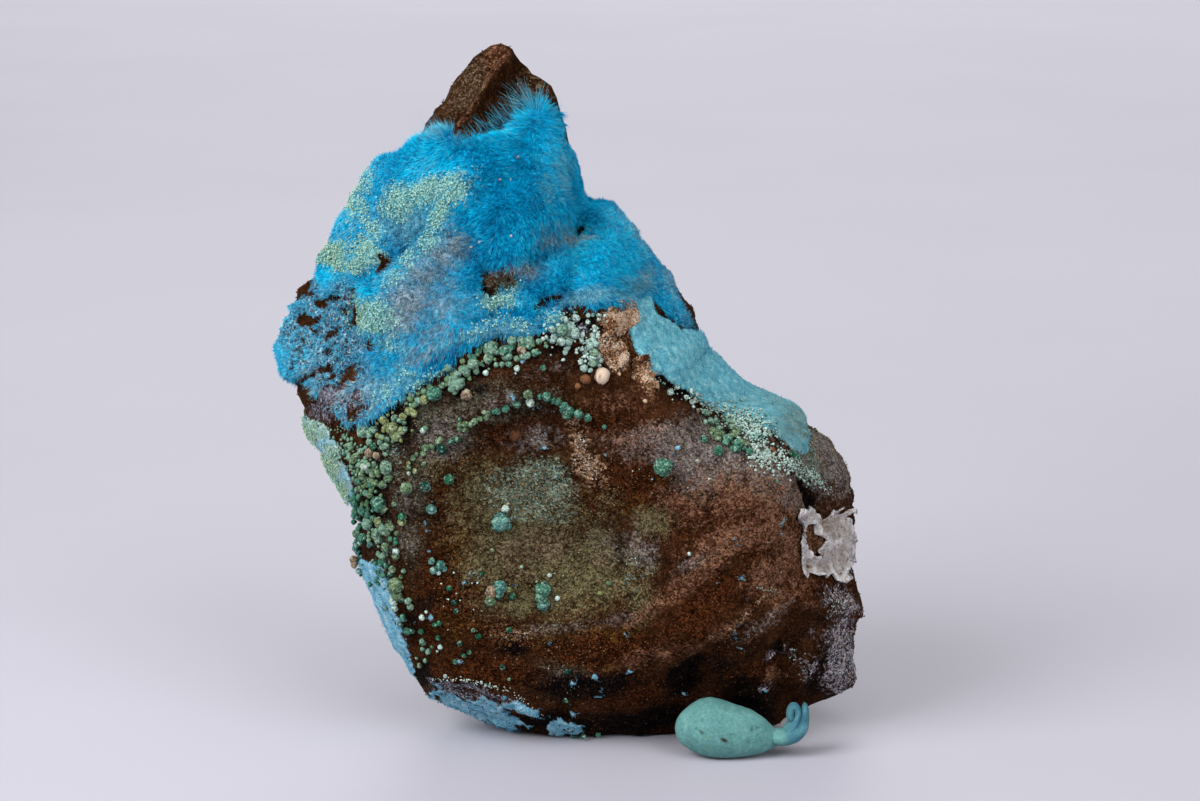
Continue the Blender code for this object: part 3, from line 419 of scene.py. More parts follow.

# Stains of the bare rock, from the lowest to the topmost: dark, middle and light tone, how grainy, and spots.
# Dark is partly painted shade; clay and silver are partly painted highlight.
STAINS = {
    "slate": ((26, 28, 24), (60, 60, 50), (106, 104, 88), 0.8, [
        (425, 420, 36, 30, 0.9), (418, 480, 22, 44, 0.7), (452, 440, 30, 22, 0.7),
        (470, 400, 44, 14, 0.7, 20), (530, 398, 40, 12, 0.5), (412, 545, 14, 30, 0.6),
        (572, 662, 34, 18, 0.6), (614, 552, 22, 12, 0.8), (640, 560, 24, 14, 0.6), (566, 690, 40, 10, 0.5),
        (468, 394, 20, 8, 0.9, 20), (560, 520, 24, 10, 0.4), (516, 640, 18, 12, 0.5),
        (700, 500, 20, 12, 0.4), (505, 415, 40, 10, 0.5),
    ]),
    "grey": ((50, 43, 40), (100, 91, 89), (150, 142, 138), 0.7, [
        (702, 448, 34, 18, 0.5, -10), (560, 372, 56, 20, 0.2), (490, 408, 30, 10, 0.4, 20),
        (440, 440, 26, 22, 0.6, 20), (412, 500, 12, 44, 0.3), (412, 545, 12, 22, 0.3),
        (720, 440, 44, 22, 1, -14), (690, 470, 44, 26, 1.2), (760, 480, 40, 20, 1, -10),
        (790, 500, 20, 14, 0.9), (826, 455, 28, 34, 1.1), (600, 545, 30, 22, 0.5), (640, 545, 22, 24, 0.5),
        (560, 628, 50, 6, 0.5, 4), (616, 620, 38, 6, 0.6, 26), (700, 560, 30, 9, 0.6, 30),
        (640, 450, 30, 14, 0.5), (530, 440, 30, 14, 0.5), (566, 676, 30, 10, 0.3),
        (770, 616, 40, 6, 0.4, 38), (670, 440, 50, 14, 0.9),
    ]),
    "amber": ((24, 13, 3), (68, 41, 11), (114, 76, 32), 0.7, [
        (612, 645, 34, 20), (462, 600, 14, 36, 0.9, -10), (458, 540, 16, 46, 0.7, 8),
        (642, 482, 30, 14, 0.9), (600, 492, 24, 16, 0.6), (484, 632, 26, 14, 0.6),
        (446, 500, 14, 30, 0.7, 10), (480, 468, 30, 12, 0.6, -20), (590, 600, 34, 18, 0.4),
        (670, 500, 20, 16, 0.4), (560, 640, 40, 12, 0.5), (440, 600, 20, 30, 0.6), (636, 506, 24, 18, 0.7),
    ]),
    "rust": ((18, 6, 2), (45, 21, 7), (90, 48, 24), 0.7, [
        (610, 488, 24, 26, 1.1), (640, 480, 24, 20), (600, 420, 40, 16, 0.7), (500, 436, 44, 14, 0.5, 20),
        (441, 510, 11, 34, 1, 14), (462, 596, 16, 24, 1.3, -20), (440, 590, 26, 34, 0.7),
        (500, 640, 34, 16, 0.9), (590, 650, 52, 13, 1.3), (640, 648, 30, 16), (490, 668, 54, 12, 0.9, -8),
        (700, 610, 44, 16, 0.9, 38), (800, 590, 22, 8, 0.9), (755, 552, 14, 9, 1.2),
        (690, 640, 40, 12, 0.7, 40), (740, 520, 60, 20, 0.5, -10), (680, 520, 40, 20, 0.6, 20),
        (755, 671, 28, 9), (630, 695, 50, 12, 0.8), (840, 585, 18, 5, 1.3), (470, 470, 20, 14, 0.5),
        (660, 500, 30, 30, 0.6), (804, 694, 14, 8, 0.7), (720, 590, 44, 8, 0.7, 34), (560, 690, 60, 12, 0.5),
        (432, 640, 26, 30, 0.5),
    ]),
    "olive": ((34, 29, 16), (76, 70, 48), (124, 116, 84), 0.8, [
        (520, 520, 60, 46, 0.9), (570, 570, 56, 46, 0.9, 30), (490, 560, 34, 34, 0.7),
        (600, 580, 40, 24, 0.9, 10), (480, 490, 30, 30, 0.8), (652, 524, 18, 14, 0.9),
        (610, 510, 20, 30, 0.4), (540, 600, 60, 20, 0.8), (430, 470, 30, 26, 0.4), (560, 470, 20, 14, 0.6),
        (640, 596, 16, 22, 0.7),
    ]),
    "clay": ((50, 27, 17), (99, 64, 46), (146, 108, 86), 0.7, [
        (745, 500, 60, 30, 0.7, -8), (745, 536, 50, 16, 0.9, 16), (700, 572, 60, 10, 0.8, 32),
        (650, 606, 50, 8, 0.5, 26), (680, 510, 30, 22, 0.5), (499, 52, 12, 12, 0.5),
        # From here to 486, 62: along the tip's crest, a reddish line that is partly painted highlight.
        (497, 66, 3, 10, 0.8, -28), (484, 86, 3, 15, 0.8, -32), (473, 107, 3, 14, 0.8, -25),
        (462, 127, 3, 11, 0.9, -38), (486, 62, 14, 8, 0.4, 30), (640, 440, 40, 20, 0.4), (792, 556, 20, 30),
        (812, 540, 12, 18, 1.2), (766, 578, 24, 15, 0.75, 30), (776, 680, 10, 8), (700, 660, 20, 8, 0.5, 40),
        (774, 592, 16, 12, 0.8), (716, 640, 50, 7, 0.6, 42), (650, 660, 40, 14, 0.45, 20),
        (810, 608, 10, 10, 0.4), (620, 402, 60, 16, 0.28, 10),
    ]),
    "umber": ((38, 28, 18), (90, 76, 58), (138, 120, 98), 0.8, [
        (518, 550, 18, 12, 0.6, 10), (545, 542, 32, 18, 0.7), (466, 90, 15, 34, 0.5, -32),
        (528, 88, 16, 26, 0.4, -20), (600, 555, 14, 10, 0.5), (520, 575, 20, 8, 0.5),
    ]),
    "sea": ((34, 44, 40), (86, 106, 95), (158, 174, 156), 1.0, [
        (530, 488, 36, 20), (548, 478, 24, 12), (500, 480, 18, 12, 0.5), (530, 505, 26, 12, 0.6),
        (405, 400, 20, 14, 0.5), (386, 450, 14, 34, 0.6), (398, 500, 10, 40, 0.2), (384, 540, 12, 34, 0.5),
        (475, 575, 10, 10, 0.25), (796, 430, 9, 28, 1.1, 22), (800, 438, 8, 26, 0.9, 35),
        (812, 462, 6, 18, 0.7, 38), (545, 510, 26, 10, 0.5), (780, 424, 14, 10, 0.6),
        (790, 446, 14, 7, 1.1, -40), (814, 474, 12, 6, 0.6, -40), (506, 288, 12, 8),
    ]),
    # Near-black mineral, and painted shade: in holes, under the edges of the velvet and the band, in the
    # tip's hollow and along the foot.
    "dark": ((3, 2, 3), (11, 7, 7), (36, 24, 20), 0.6, [
        (686, 682, 20, 13, 1.4, 30), (640, 722, 60, 12, 1.1, 4), (754, 704, 22, 16, 1.2, 10),
        (744, 690, 16, 16, 0.9), (750, 646, 26, 8, 0.4, 42), (800, 640, 18, 16, 0.35), (812, 676, 11, 18),
        (813, 494, 6, 18, 1.3, 22), (560, 722, 50, 10, 0.9, -10), (781, 651, 8, 7, 1.5),
        (427, 672, 9, 9, 1.1), (590, 325, 18, 8, 1.3), (552, 300, 14, 7, 0.9), (508, 337, 24, 6, 1.2, -4),
        (395, 425, 22, 28, 1, 30), (378, 500, 14, 60, 0.9), (622, 545, 8, 16, 0.5), (640, 365, 6, 12, 0.7),
        (674, 386, 24, 6, 1.1, -34), (704, 408, 18, 4, 0.9, -20), (733, 432, 14, 12, 0.9),
        (470, 376, 38, 6, 1, 30), (466, 393, 24, 6, 0.8, 20), (560, 352, 20, 8, 0.7),
        (820, 622, 20, 14, 0.5), (836, 660, 20, 34, 0.8), (510, 650, 18, 8, 0.9), (425, 605, 14, 12, 0.7),
        (588, 684, 50, 13, 1.1), (726, 668, 8, 26, 0.6, -42), (526, 88, 12, 22, 0.35, -20),
        (500, 112, 20, 10, 0.4), (776, 446, 7, 3, 0.7, -30), (410, 620, 10, 20, 0.6), (583, 225, 8, 8, 1.4),
        (488, 292, 6, 8, 0.8), (500, 700, 40, 8, 0.4, 10), (600, 740, 60, 8),
    ]),
    "trail": ((60, 34, 16), (124, 92, 66), (184, 154, 128), 1.3, [
        (583, 446, 10, 18, 1, 20), (592, 466, 11, 14, 1, 20), (576, 424, 10, 10, 0.6),
        (600, 480, 10, 9, 0.5), (520, 632, 12, 5, 0.6), (770, 589, 9, 2, 0.9, -14),
        (760, 602, 16, 1.6, 0.5, 42), (739, 622, 14, 1.6, 0.5, 50), (697, 461, 6, 4, 0.5),
        (500, 632, 16, 8, 0.4),
    ]),
    "ochre": ((70, 40, 20), (132, 98, 70), (186, 158, 132), 1.0, [
        (620, 316, 12, 12, 1.1), (608, 324, 7, 10, 0.9), (614, 345, 12, 11, 1.2), (620, 360, 9, 9, 1.1),
        (642, 366, 4.5, 8, 1.1, 20), (648, 384, 6.5, 11, 1, 24), (600, 347, 6, 8, 0.6),
        (502, 278, 14, 9, 0.8),
    ]),
    # Grey-white druse, with painted sparkle highlights.
    "silver": ((26, 18, 19), (84, 73, 78), (200, 194, 204), 1.2, [
        (838, 603, 12, 14, 0.9), (842, 650, 12, 28, 1.3), (838, 680, 13, 12, 1.1), (822, 596, 9, 8, 0.8),
        (794, 655, 5, 5, 0.7), (774, 662, 6, 3, 0.7, 20), (768, 693, 8, 5, 0.5), (806, 668, 9, 10, 0.5),
        (820, 640, 16, 20, 0.2), (852, 610, 7, 3, 1.6),
    ]),
    "frost": ((64, 60, 70), (116, 118, 130), (190, 196, 208), 1.2, [
        (450, 678, 16, 2.5, 0.8, -6), (472, 680, 14, 2.5, 0.8, -10), (492, 686, 14, 2.5, 0.8, -18),
        (514, 694, 14, 3, 0.7, -22), (532, 702, 10, 3, 0.6, -24), (456, 690, 22, 7, 0.6, -10),
        (490, 696, 26, 6, 0.5, -18), (580, 332, 14, 8, 0.4),
    ]),
}
COARSE = [(505, 640, 28, 18), (586, 455, 10, 22, 0.8, 20), (530, 488, 30, 18, 0.5), (600, 420, 30, 14, 0.3)]
WORN = [(792, 430, 26, 24, 1, 30), (776, 410, 30, 10, 0.6, -36), (742, 406, 26, 6, 0.4, -20)]
FOOT_BLUE = [
    (437, 692, 12, 6, 0.8), (460, 702, 26, 6, 1.1, -20), (486, 706, 22, 11, 1.2, -14),
    (500, 717, 24, 8, 1.2, -24), (524, 700, 16, 5, 0.8, -24), (514, 700, 16, 4, 0.8, -20),
    (530, 724, 8, 4, 0.6, -10), (561, 725, 15, 9, 1.2), (546, 716, 12, 6, 0.6), (446, 698, 14, 5, 0.8, -14),
    (476, 708, 10, 5, 0.8, -14),
]
TIP_FACE = (462, 92, 14, 34, 1, -32)  # the sugary left face of the tip
POCKET, PINHOLE = (500, 286, 16, 14), (583, 227, 4, 4)  # holes in the velvet
HOLLOWS = [(547, 303, 11, 6), (375, 262, 9, 6), (346, 291, 10, 7)]
SMOOTH = [(530, 500, 110, 90), (640, 440, 90, 70, 0.8), (730, 480, 70, 60, 0.6), (470, 400, 60, 40, 0.6)]

# Creases: x, y points of a line in camera pixels, half width in mm, height in mm (negative is a groove).
CREASES = [
    ([(503, 50), (508, 60), (494, 78), (482, 98), (470, 118), (456, 140)], 0.34, 1.0),
    ([(526, 66), (514, 86), (502, 106), (486, 126)], 1.1, -0.95),
    ([(522, 60), (540, 78), (554, 100), (566, 130)], 0.45, 0.35),
    ([(478, 70), (466, 90), (450, 112)], 0.8, -0.30),
    ([(592, 186), (590, 204), (584, 226), (574, 244)], 0.7, -0.7),
    ([(801, 466), (806, 482), (812, 498), (820, 514)], 0.7, -1.2),
    ([(790, 470), (797, 488), (803, 508)], 0.5, 0.35),
    ([(840, 592), (812, 600), (786, 612), (760, 634), (736, 660), (716, 684), (700, 704)], 0.8, 0.55),
    ([(720, 650), (700, 674), (684, 700)], 1.0, -0.9),
    ([(800, 640), (778, 660), (768, 680)], 0.8, -0.7),
    ([(772, 648), (764, 656)], 0.8, -1.0),
    ([(830, 630), (812, 652), (800, 676), (796, 696)], 0.7, 0.7),
    ([(806, 650), (784, 674), (778, 694)], 0.6, -0.6),
    ([(852, 604), (838, 606), (826, 612)], 0.4, 0.5),
    ([(854, 588), (836, 592), (820, 590)], 0.35, -0.5),
    ([(700, 556), (668, 584), (636, 604), (596, 620), (556, 628)], 1.3, 0.35),
    ([(716, 576), (690, 604), (660, 626), (620, 644)], 1.2, -0.3),
    ([(560, 398), (600, 404), (640, 416)], 1.2, 0.25),
    ([(455, 420), (490, 406), (530, 392), (560, 394), (590, 412)], 0.8, 0.3),
    ([(424, 668), (470, 676), (508, 690), (540, 708)], 0.7, 0.5),
    ([(690, 700), (720, 688), (750, 694), (780, 722)], 0.7, 0.4),
    ([(745, 715), (762, 700), (790, 700)], 0.5, -0.5),
    ([(284, 376), (300, 392), (306, 420)], 0.6, -0.5),
    ([(336, 300), (352, 316), (356, 340)], 0.7, -0.5),
    ([(390, 292), (372, 312), (350, 322)], 0.8, -0.5),
    ([(396, 250), (380, 272), (366, 286)], 0.9, -0.6),
    ([(583, 226), (566, 240), (548, 252), (520, 270)], 1.2, -0.55),
    ([(376, 170), (362, 200), (358, 236)], 0.9, 0.35),
    ([(394, 212), (408, 236), (402, 260)], 1.1, -0.6),
    ([(470, 182), (456, 222), (438, 260), (402, 298), (376, 318)], 1.0, 0.5),
    ([(424, 296), (440, 326), (470, 340)], 1.2, -0.35),
    ([(560, 120), (566, 160), (584, 196)], 0.9, 0.3),
    ([(610, 250), (650, 262), (676, 290)], 1.3, 0.35),
    ([(604, 206), (640, 232), (668, 268)], 1.0, -0.3),
    ([(640, 300), (690, 345), (750, 392), (790, 432)], 1.1, 0.3),
    ([(664, 372), (704, 392), (744, 412)], 0.9, -0.3),
]


def spots(pixels, patches):
    """How strongly soft oval spots cover each pixel: the strongest of their bell curves."""
    cover = np.zeros(pixels.shape[:-1])
    for patch in patches:
        x, y, wide, high, strength, turn = (*patch, *USUAL_SPOT[len(patch) - 4:])
        c, s = math.cos(math.radians(turn)), math.sin(math.radians(turn))
        dx, dy = pixels[..., 0] - x, pixels[..., 1] - y
        across, along = (dx * c - dy * s) / wide, (dx * s + dy * c) / high
        cover = np.maximum(cover, strength * np.exp(-0.8 * (across**2 + along**2)))
    return cover


def to_side(pixels, start, end):
    """Distance from each pixel to the nearest place of a straight side, and its share of the side."""
    (ax, ay), (bx, by) = start, end
    ex, ey = bx - ax, by - ay
    dx, dy = pixels[..., 0] - ax, pixels[..., 1] - ay
    share = np.clip((dx * ex + dy * ey) / (ex * ex + ey * ey), 0, 1)
    return np.hypot(dx - share * ex, dy - share * ey), share


def inside(pixels, outline):
    """Signed distance in pixels to an outline of straight sides, positive inside."""
    x, y = pixels[..., 0], pixels[..., 1]
    nearest = np.full(x.shape, 1e9)
    within = np.zeros(x.shape, bool)
    for (ax, ay), (bx, by) in zip(outline, outline[1:] + outline[:1]):
        nearest = np.minimum(nearest, to_side(pixels, (ax, ay), (bx, by))[0])
        rise = by - ay
        within ^= ((ay > y) != (by > y)) & (x < ax + (y - ay) * (bx - ax) / (rise or 1e-9))
    return np.where(within, nearest, -nearest)


def crease(pixels, line, half_width, height):
    """A rounded ridge or groove along a line, fading towards its ends."""
    profile = np.zeros(pixels.shape[:-1])
    count = len(line) - 1
    for i, ends in enumerate(zip(line, line[1:])):
        away, share = to_side(pixels, *ends)
        fade = np.clip(np.minimum(i + share, count - i - share) * 2.0 + 0.35, 0, 1)
        profile = np.maximum(profile, np.exp(-((away * PIXEL / half_width) ** 1.5)) * fade)
    return profile * height


def build_zones(skin, pixels):
    """Every covering as a number from 0 to 1 at each place of the skin table."""
    wobble = cloud(skin, 2.2, 5, 5, 0.62)
    fine = cloud(skin, 0.7, 11, 3, 0.7)
    reach = np.linspace(0, 2, REACHES)[None, :]
    zone = {}
    edge = inside(pixels, VELVET) + 5 * wobble + 5 * fine
    zone["velvet"] = step_up(-3, 4, edge)
    lace = np.clip(spots(pixels, LACE), 0, 1)
    strands = np.maximum(crags(skin, 1.3, 23, 2), crags(skin + 3.1, 0.9, 29, 2))
    strands += 0.35 * cloud(skin, 3.0, 37, 2)
    strands -= np.quantile(strands, 0.37)
    zone["lace"] = lace
    zone["velvet"] *= 1 - lace * (1 - step_up(-0.05, 0.25, strands + 0.6 * (1 - lace)))
    bare = spots(pixels, BARE) * (1 + 0.5 * fine)
    zone["velvet"] *= 1 - step_up(0.35, 0.62, bare + 0.15 * wobble)
    zone["bare"] = np.clip(bare, 0, 1)
    edge = inside(pixels, BAND) + 4 * wobble + 4.5 * fine
    zone["band"] = step_up(-2, 2, edge) * (1 - zone["velvet"])
    edge = np.maximum(inside(pixels, STRIP), inside(pixels, FLANK)) + 3 * wobble + 4 * fine
    zone["strip"] = step_up(-2, 3, edge)
    crumbly = np.maximum(inside(pixels, OCHRE[0]), inside(pixels, OCHRE[1]))
    zone["crumbs"] = step_up(-1, 2, crumbly + 1.5 * wobble + 1.5 * fine)
    zone["foot"] = step_up(0.28, 0.62, spots(pixels, FOOT_BLUE) + 0.7 * fine + 0.4 * wobble)
    patches = {
        "worn": WORN, "mint": MINT, "violet": VIOLET, "deep": SHADE_SPOTS, "bright_and_lit": BRIGHT_AND_LIT_SPOTS, "pale": PALE_FUZZ,
        "dust": DUST, **{name: stain[-1] for name, stain in STAINS.items()},
    }
    # Spots are drawn out into ragged clouds by pushing the pixels about.
    push = np.stack([cloud(skin, 2.6, seed, 4, 0.6) for seed in (301, 331)], axis=-1)
    for name, places in patches.items():
        pushed = spots(pixels + (9 if name in STAINS else 5) * push, places)
        zone[name] = np.clip(pushed * (1 + 0.5 * fine), 0, 1)
    zone["smooth"] = spots(pixels, SMOOTH)
    # Behind the rim only the coverings that wrap round go on, and they thin out.
    front = step_up(1.12, 1.0, reach)
    for name in ("mint", "violet", "pale", "smooth", "crumbs", *STAINS):
        zone[name] = zone[name] * front
    thinning = step_up(1.75, 1.1, reach + 0.5 * wobble)
    for name in ("velvet", "band", "strip", "foot"):
        zone[name] = zone[name] * step_up(0.25, 0.6, thinning)
    # The back is stained in broad patches.
    zone["back"] = np.broadcast_to(step_up(1.0, 1.15, reach), skin.shape[:2])
    for seed, name in enumerate(("rust", "slate", "grey", "clay", "amber")):
        patch = 0.9 * zone["back"] * step_up(0.0, 0.4, cloud(skin, 5.5, 61 + 10 * seed, 4, 0.6))
        zone[name] = np.maximum(zone[name], patch)
    return zone


def detail(skin, pixels, zone):
    """How far each place stands out from the smooth skin: broken rock, creases and the crusts' thickness."""
    reach = np.linspace(0, 2, REACHES)[None, :]
    calm = 1 - (1 - RIM_ROUGH) * np.exp(-(((reach - 1) / 0.2) ** 2))
    lift = lattice_noise(skin / ROUGH_SIZE + 31.7, 3) * ROUGH_DEPTH * calm
    covered = np.clip(zone["velvet"] + zone["band"] + zone["strip"], 0, 1)
    broken = (1 - 0.8 * zone["smooth"]) * (1 - 0.75 * covered)
    chips = 0.5 - facets(skin + 0.25 * skin[..., [1, 2, 0]], 2.6, 7)
    small_chips = 0.5 - facets(skin, 0.95, 19)
    lift += broken * (0.42 * chips + 0.26 * small_chips + 0.16 * crags(skin, 1.6, 3, 4))
    lift += (0.05 + 0.05 * broken) * cloud(skin, 0.5, 31, 3, 0.7) * (1 - covered)
    # The fine sugary grain of the bare face.
    lift += 0.035 * (0.5 - facets(skin, 0.34, 43)) * (1 - covered)
    for line, half_width, height in CREASES:
        lift += crease(pixels, line, half_width, height)
    lumps = cloud(skin, 2.4, 71, 3, 0.6)
    nubs = 0.6 - facets(skin, 0.75, 83)
    lift += zone["velvet"] * (0.38 + 0.32 * lumps + 0.16 * nubs)
    lift += zone["mint"] * zone["velvet"] * (0.25 + 0.40 * (0.6 - facets(skin, 0.5, 89)))
    lift += zone["band"] * (0.50 + 0.10 * lumps + 0.10 * nubs)
    lift += (zone["strip"] + zone["foot"]) * (0.22 + 0.14 * nubs)
    lift += zone["ochre"] * (0.16 + 0.2 * nubs) + zone["trail"] * (0.10 + 0.22 * nubs)
    lift += zone["crumbs"] * 0.5 * (0.5 - facets(skin, 1.25, 97))
    lift += zone["frost"] * 0.12 * nubs
    lift -= 0.5 * spots(pixels, [POCKET]) + 1.2 * spots(pixels, [PINHOLE])
    return lift - 0.5 * spots(pixels, HOLLOWS)


FOOT_HEIGHT = 0.45


def finished_skin():
    """The skin with its detail, its normals, the camera pixel of every place, and what covers it."""
    smooth, pixels = bare_skin()
    zone = build_zones(smooth, pixels)
    skin = smooth + detail(smooth, pixels, zone)[..., None] * outward_normals(smooth)
    # What would lie under the table is pressed together just above it, so the underside comes out flat.
    height = skin[..., 2]
    pressed = FOOT_HEIGHT * np.exp((height - FOOT_HEIGHT) / FOOT_HEIGHT)
    skin[..., 2] = np.where(height < FOOT_HEIGHT, pressed, height)
    skin[:, [0, -1]] = skin[:, [0, -1]].mean(axis=0)
    return skin, outward_normals(skin), pixels, zone


SKIN, NORMAL, PIXELS, ZONE = finished_skin()
SEEN = seen_at(SKIN)


def read_table(table, a, r):
    """Values of a skin table between its four nearest entries; a counts meridians, r places along them."""
    a0, r0 = np.floor(a).astype(int), np.minimum(np.floor(r).astype(int), REACHES - 2)
    fa, fr = a - a0, r - r0
    if table.ndim == 3:
        fa, fr = fa[..., None], fr[..., None]
    low = table[a0 % ANGLES, r0] * (1 - fa) + table[(a0 + 1) % ANGLES, r0] * fa
    high = table[a0 % ANGLES, r0 + 1] * (1 - fa) + table[(a0 + 1) % ANGLES, r0 + 1] * fa
    return low * (1 - fr) + high * fr


def skin_at(a, r):
    """Points and normals of the skin at table positions."""
    return read_table(SKIN, a, r), unit(read_table(NORMAL, a, r))


FRONT_ROWS = REACHES // 2 + 6


def on_rock(places):
    """Points and normals of the rock where the camera sees each pixel of places.

    The nearest place of the skin table that faces the camera is found first, and the line of sight then meets
    the flat plane through it.
    """
    places = np.asarray(places, float)
    facing = np.einsum("ijk,ijk->ij", NORMAL, EYE - SKIN)[:, :FRONT_ROWS] > 0.05
    seen = SEEN[:, :FRONT_ROWS][facing]
    points, normals = SKIN[:, :FRONT_ROWS][facing], NORMAL[:, :FRONT_ROWS][facing]
    nearest = np.array([np.argmin(((seen - place) ** 2).sum(axis=1)) for place in places])
    points, normals = points[nearest], normals[nearest]
    sight = sight_lines(places)
    facing_in = np.minimum(np.einsum("ij,ij->i", normals, sight), -0.25)
    travel = np.einsum("ij,ij->i", normals, points - EYE) / facing_in
    straight = EYE + sight * travel[:, None]
    offset = straight - points
    length = np.linalg.norm(offset, axis=1, keepdims=True)
    return points + offset * np.minimum(1, 0.5 / (length + 1e-9)), normals


# ---------------------------------------------------------------- mesh and material helpers

def mesh_object(name, verts, faces, material, smooth=True, uv=None, attributes=None):
    """An object from arrays: positions in mm, faces as rows of 3 or 4 corners, one uv for each vertex."""
    mesh = bpy.data.meshes.new(name)
    verts = ((verts + TO_ORIGIN) * MM).astype(np.float32)
    groups = faces if isinstance(faces, list) else [faces]
    loops = np.concatenate([group.ravel() for group in groups]).astype(np.int32)
    sizes = np.concatenate([np.full(len(group), group.shape[1]) for group in groups])
    starts = np.concatenate([[0], np.cumsum(sizes)[:-1]])
    mesh.vertices.add(len(verts))
    mesh.vertices.foreach_set("co", verts.ravel())
    mesh.loops.add(len(loops))
    mesh.loops.foreach_set("vertex_index", loops)
    mesh.polygons.add(len(sizes))
    mesh.polygons.foreach_set("loop_start", starts.astype(np.int32))
    mesh.update(calc_edges=True)
    mesh.polygons.foreach_set("use_smooth", np.full(len(sizes), smooth))
    if uv is not None:
        layer = mesh.uv_layers.new(name="OFBake")
        layer.uv.foreach_set("vector", uv[loops].astype(np.float32).ravel())
    for key, values in (attributes or {}).items():
        made = mesh.attributes.new(key, "FLOAT_COLOR", "POINT")
        rgba = np.concatenate([values, np.ones((len(values), 1))], axis=1)
        made.data.foreach_set("color", rgba.astype(np.float32).ravel())
    mesh.validate()
    mesh.materials.append(material)
    piece = bpy.data.objects.new(name, mesh)
    bpy.context.collection.objects.link(piece)
    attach(piece, "root")
    return piece


def grid_faces(rows, columns, loop=False):
    """Quads over rings of points, ring after ring; loop joins the last ring to the first."""
    r, c = np.meshgrid(np.arange(rows if loop else rows - 1), np.arange(columns), indexing="ij")
    below, after = (r + 1) % rows, (c + 1) % columns
    corners = [r * columns + c, below * columns + c, below * columns + after, r * columns + after]
    return np.stack(corners, axis=-1).reshape(-1, 4)


def closed_faces(rows, columns):
    """Quads over rings of points, and fans of triangles from a pole at each end, counted after the rings."""
    here = np.arange(columns)
    after = (here + 1) % columns
    last = (rows - 1) * columns
    pole = np.full(columns, rows * columns)
    fans = [np.stack([pole, here, after], axis=1), np.stack([pole + 1, last + after, last + here], axis=1)]
    return [grid_faces(rows, columns), np.concatenate(fans)]


def many_balls(name, middles, axes, radii, hues, material, columns, rows, lump=0.1, nubs=0.0, seed=1,
               smooth=True, mottle=0.12, tints=None):
    """Lumpy balls in one mesh, each a grid of latitude and longitude about its own axis.

    A point is the ball's middle plus the three radii times its direction, times one plus lump times soft
    noise and nubs times round bosses. The palette's u is the ball's hue, and v is painted shade and light: it
    climbs from the inner pole to the outer, and is higher on lumps and lower in dents. With tints, stops of a
    palette, the colour is held by the mesh's own attribute instead.
    """
    rng = np.random.default_rng(seed)
    count = len(middles)
    polar = math.pi * np.arange(1, rows + 1) / (rows + 1)
    turn = 2 * math.pi * np.arange(columns) / columns
    ring = np.stack([np.outer(np.sin(polar), np.cos(turn)), np.outer(np.sin(polar), np.sin(turn)),
                     np.outer(np.cos(polar), np.ones(columns))], axis=-1).reshape(-1, 3)
    ways = np.concatenate([ring, [[0, 0, 1.0], [0, 0, -1.0]]])
    side = unit(np.cross(axes, unit(rng.normal(size=(count, 3)))))
    frames = np.stack([side, np.cross(axes, side), axes], axis=1)
    offsets = rng.uniform(-90, 90, (count, 1, 3))
    swell = 1 + lump * 1.6 * lattice_noise(ways * 1.4 + offsets, seed)
    if nubs:
        swell = swell + nubs * (0.7 - facets(ways * 2.6 + offsets, 1.0, seed))
    local = ways * swell[..., None] * radii[:, None, :]
    verts = (middles[:, None, :] + np.einsum("nvk,nkj->nvj", local, frames)).reshape(-1, 3)
    step = len(ways) * np.arange(count)[:, None, None]
    faces = [(part + step).reshape(-1, part.shape[1]) for part in closed_faces(rows, columns) if len(part)]
    palette = np.empty((count, len(ways), 2))
    palette[..., 0] = hues[:, None] + rng.normal(0, 0.012, palette.shape[:2])
    # Painted shade and light: v is low at the inner pole, towards the rock, and in dents, and high at the
    # outer pole and on lumps.
    palette[..., 1] = 0.48 + 0.40 * ways[:, 2] + rng.normal(0, mottle, palette.shape[:2]) + 1.4 * (swell - 1)
    palette = np.clip(palette, 0.004, 0.996)
    if tints is None:
        return mesh_object(name, verts, faces, material, smooth=smooth, uv=palette.reshape(-1, 2))
    places = [at for at, _, _ in tints]
    deep, light = (np.array([rgb(*stop[tone])[:3] for stop in tints]) for tone in (1, 2))
    deep, light = (np.stack([np.interp(hues, places, channel) for channel in tone.T], axis=-1)[:, None]
                   for tone in (deep, light))
    share = step_up(0.02, 0.85, palette[..., 1:])
    colour = (deep * (1 - share) + light * share).reshape(-1, 3)
    return mesh_object(name, verts, faces, material, smooth=smooth, attributes={"shaded_tint": colour})


def rgb(red, green, blue):
    """A colour given in screen values 0 to 255, as Blender's linear one."""
    channels = np.array([red, green, blue]) / 255.0
    linear = np.where(channels <= 0.04045, channels / 12.92, ((channels + 0.055) / 1.055) ** 2.4)
    return (*linear.tolist(), 1.0)


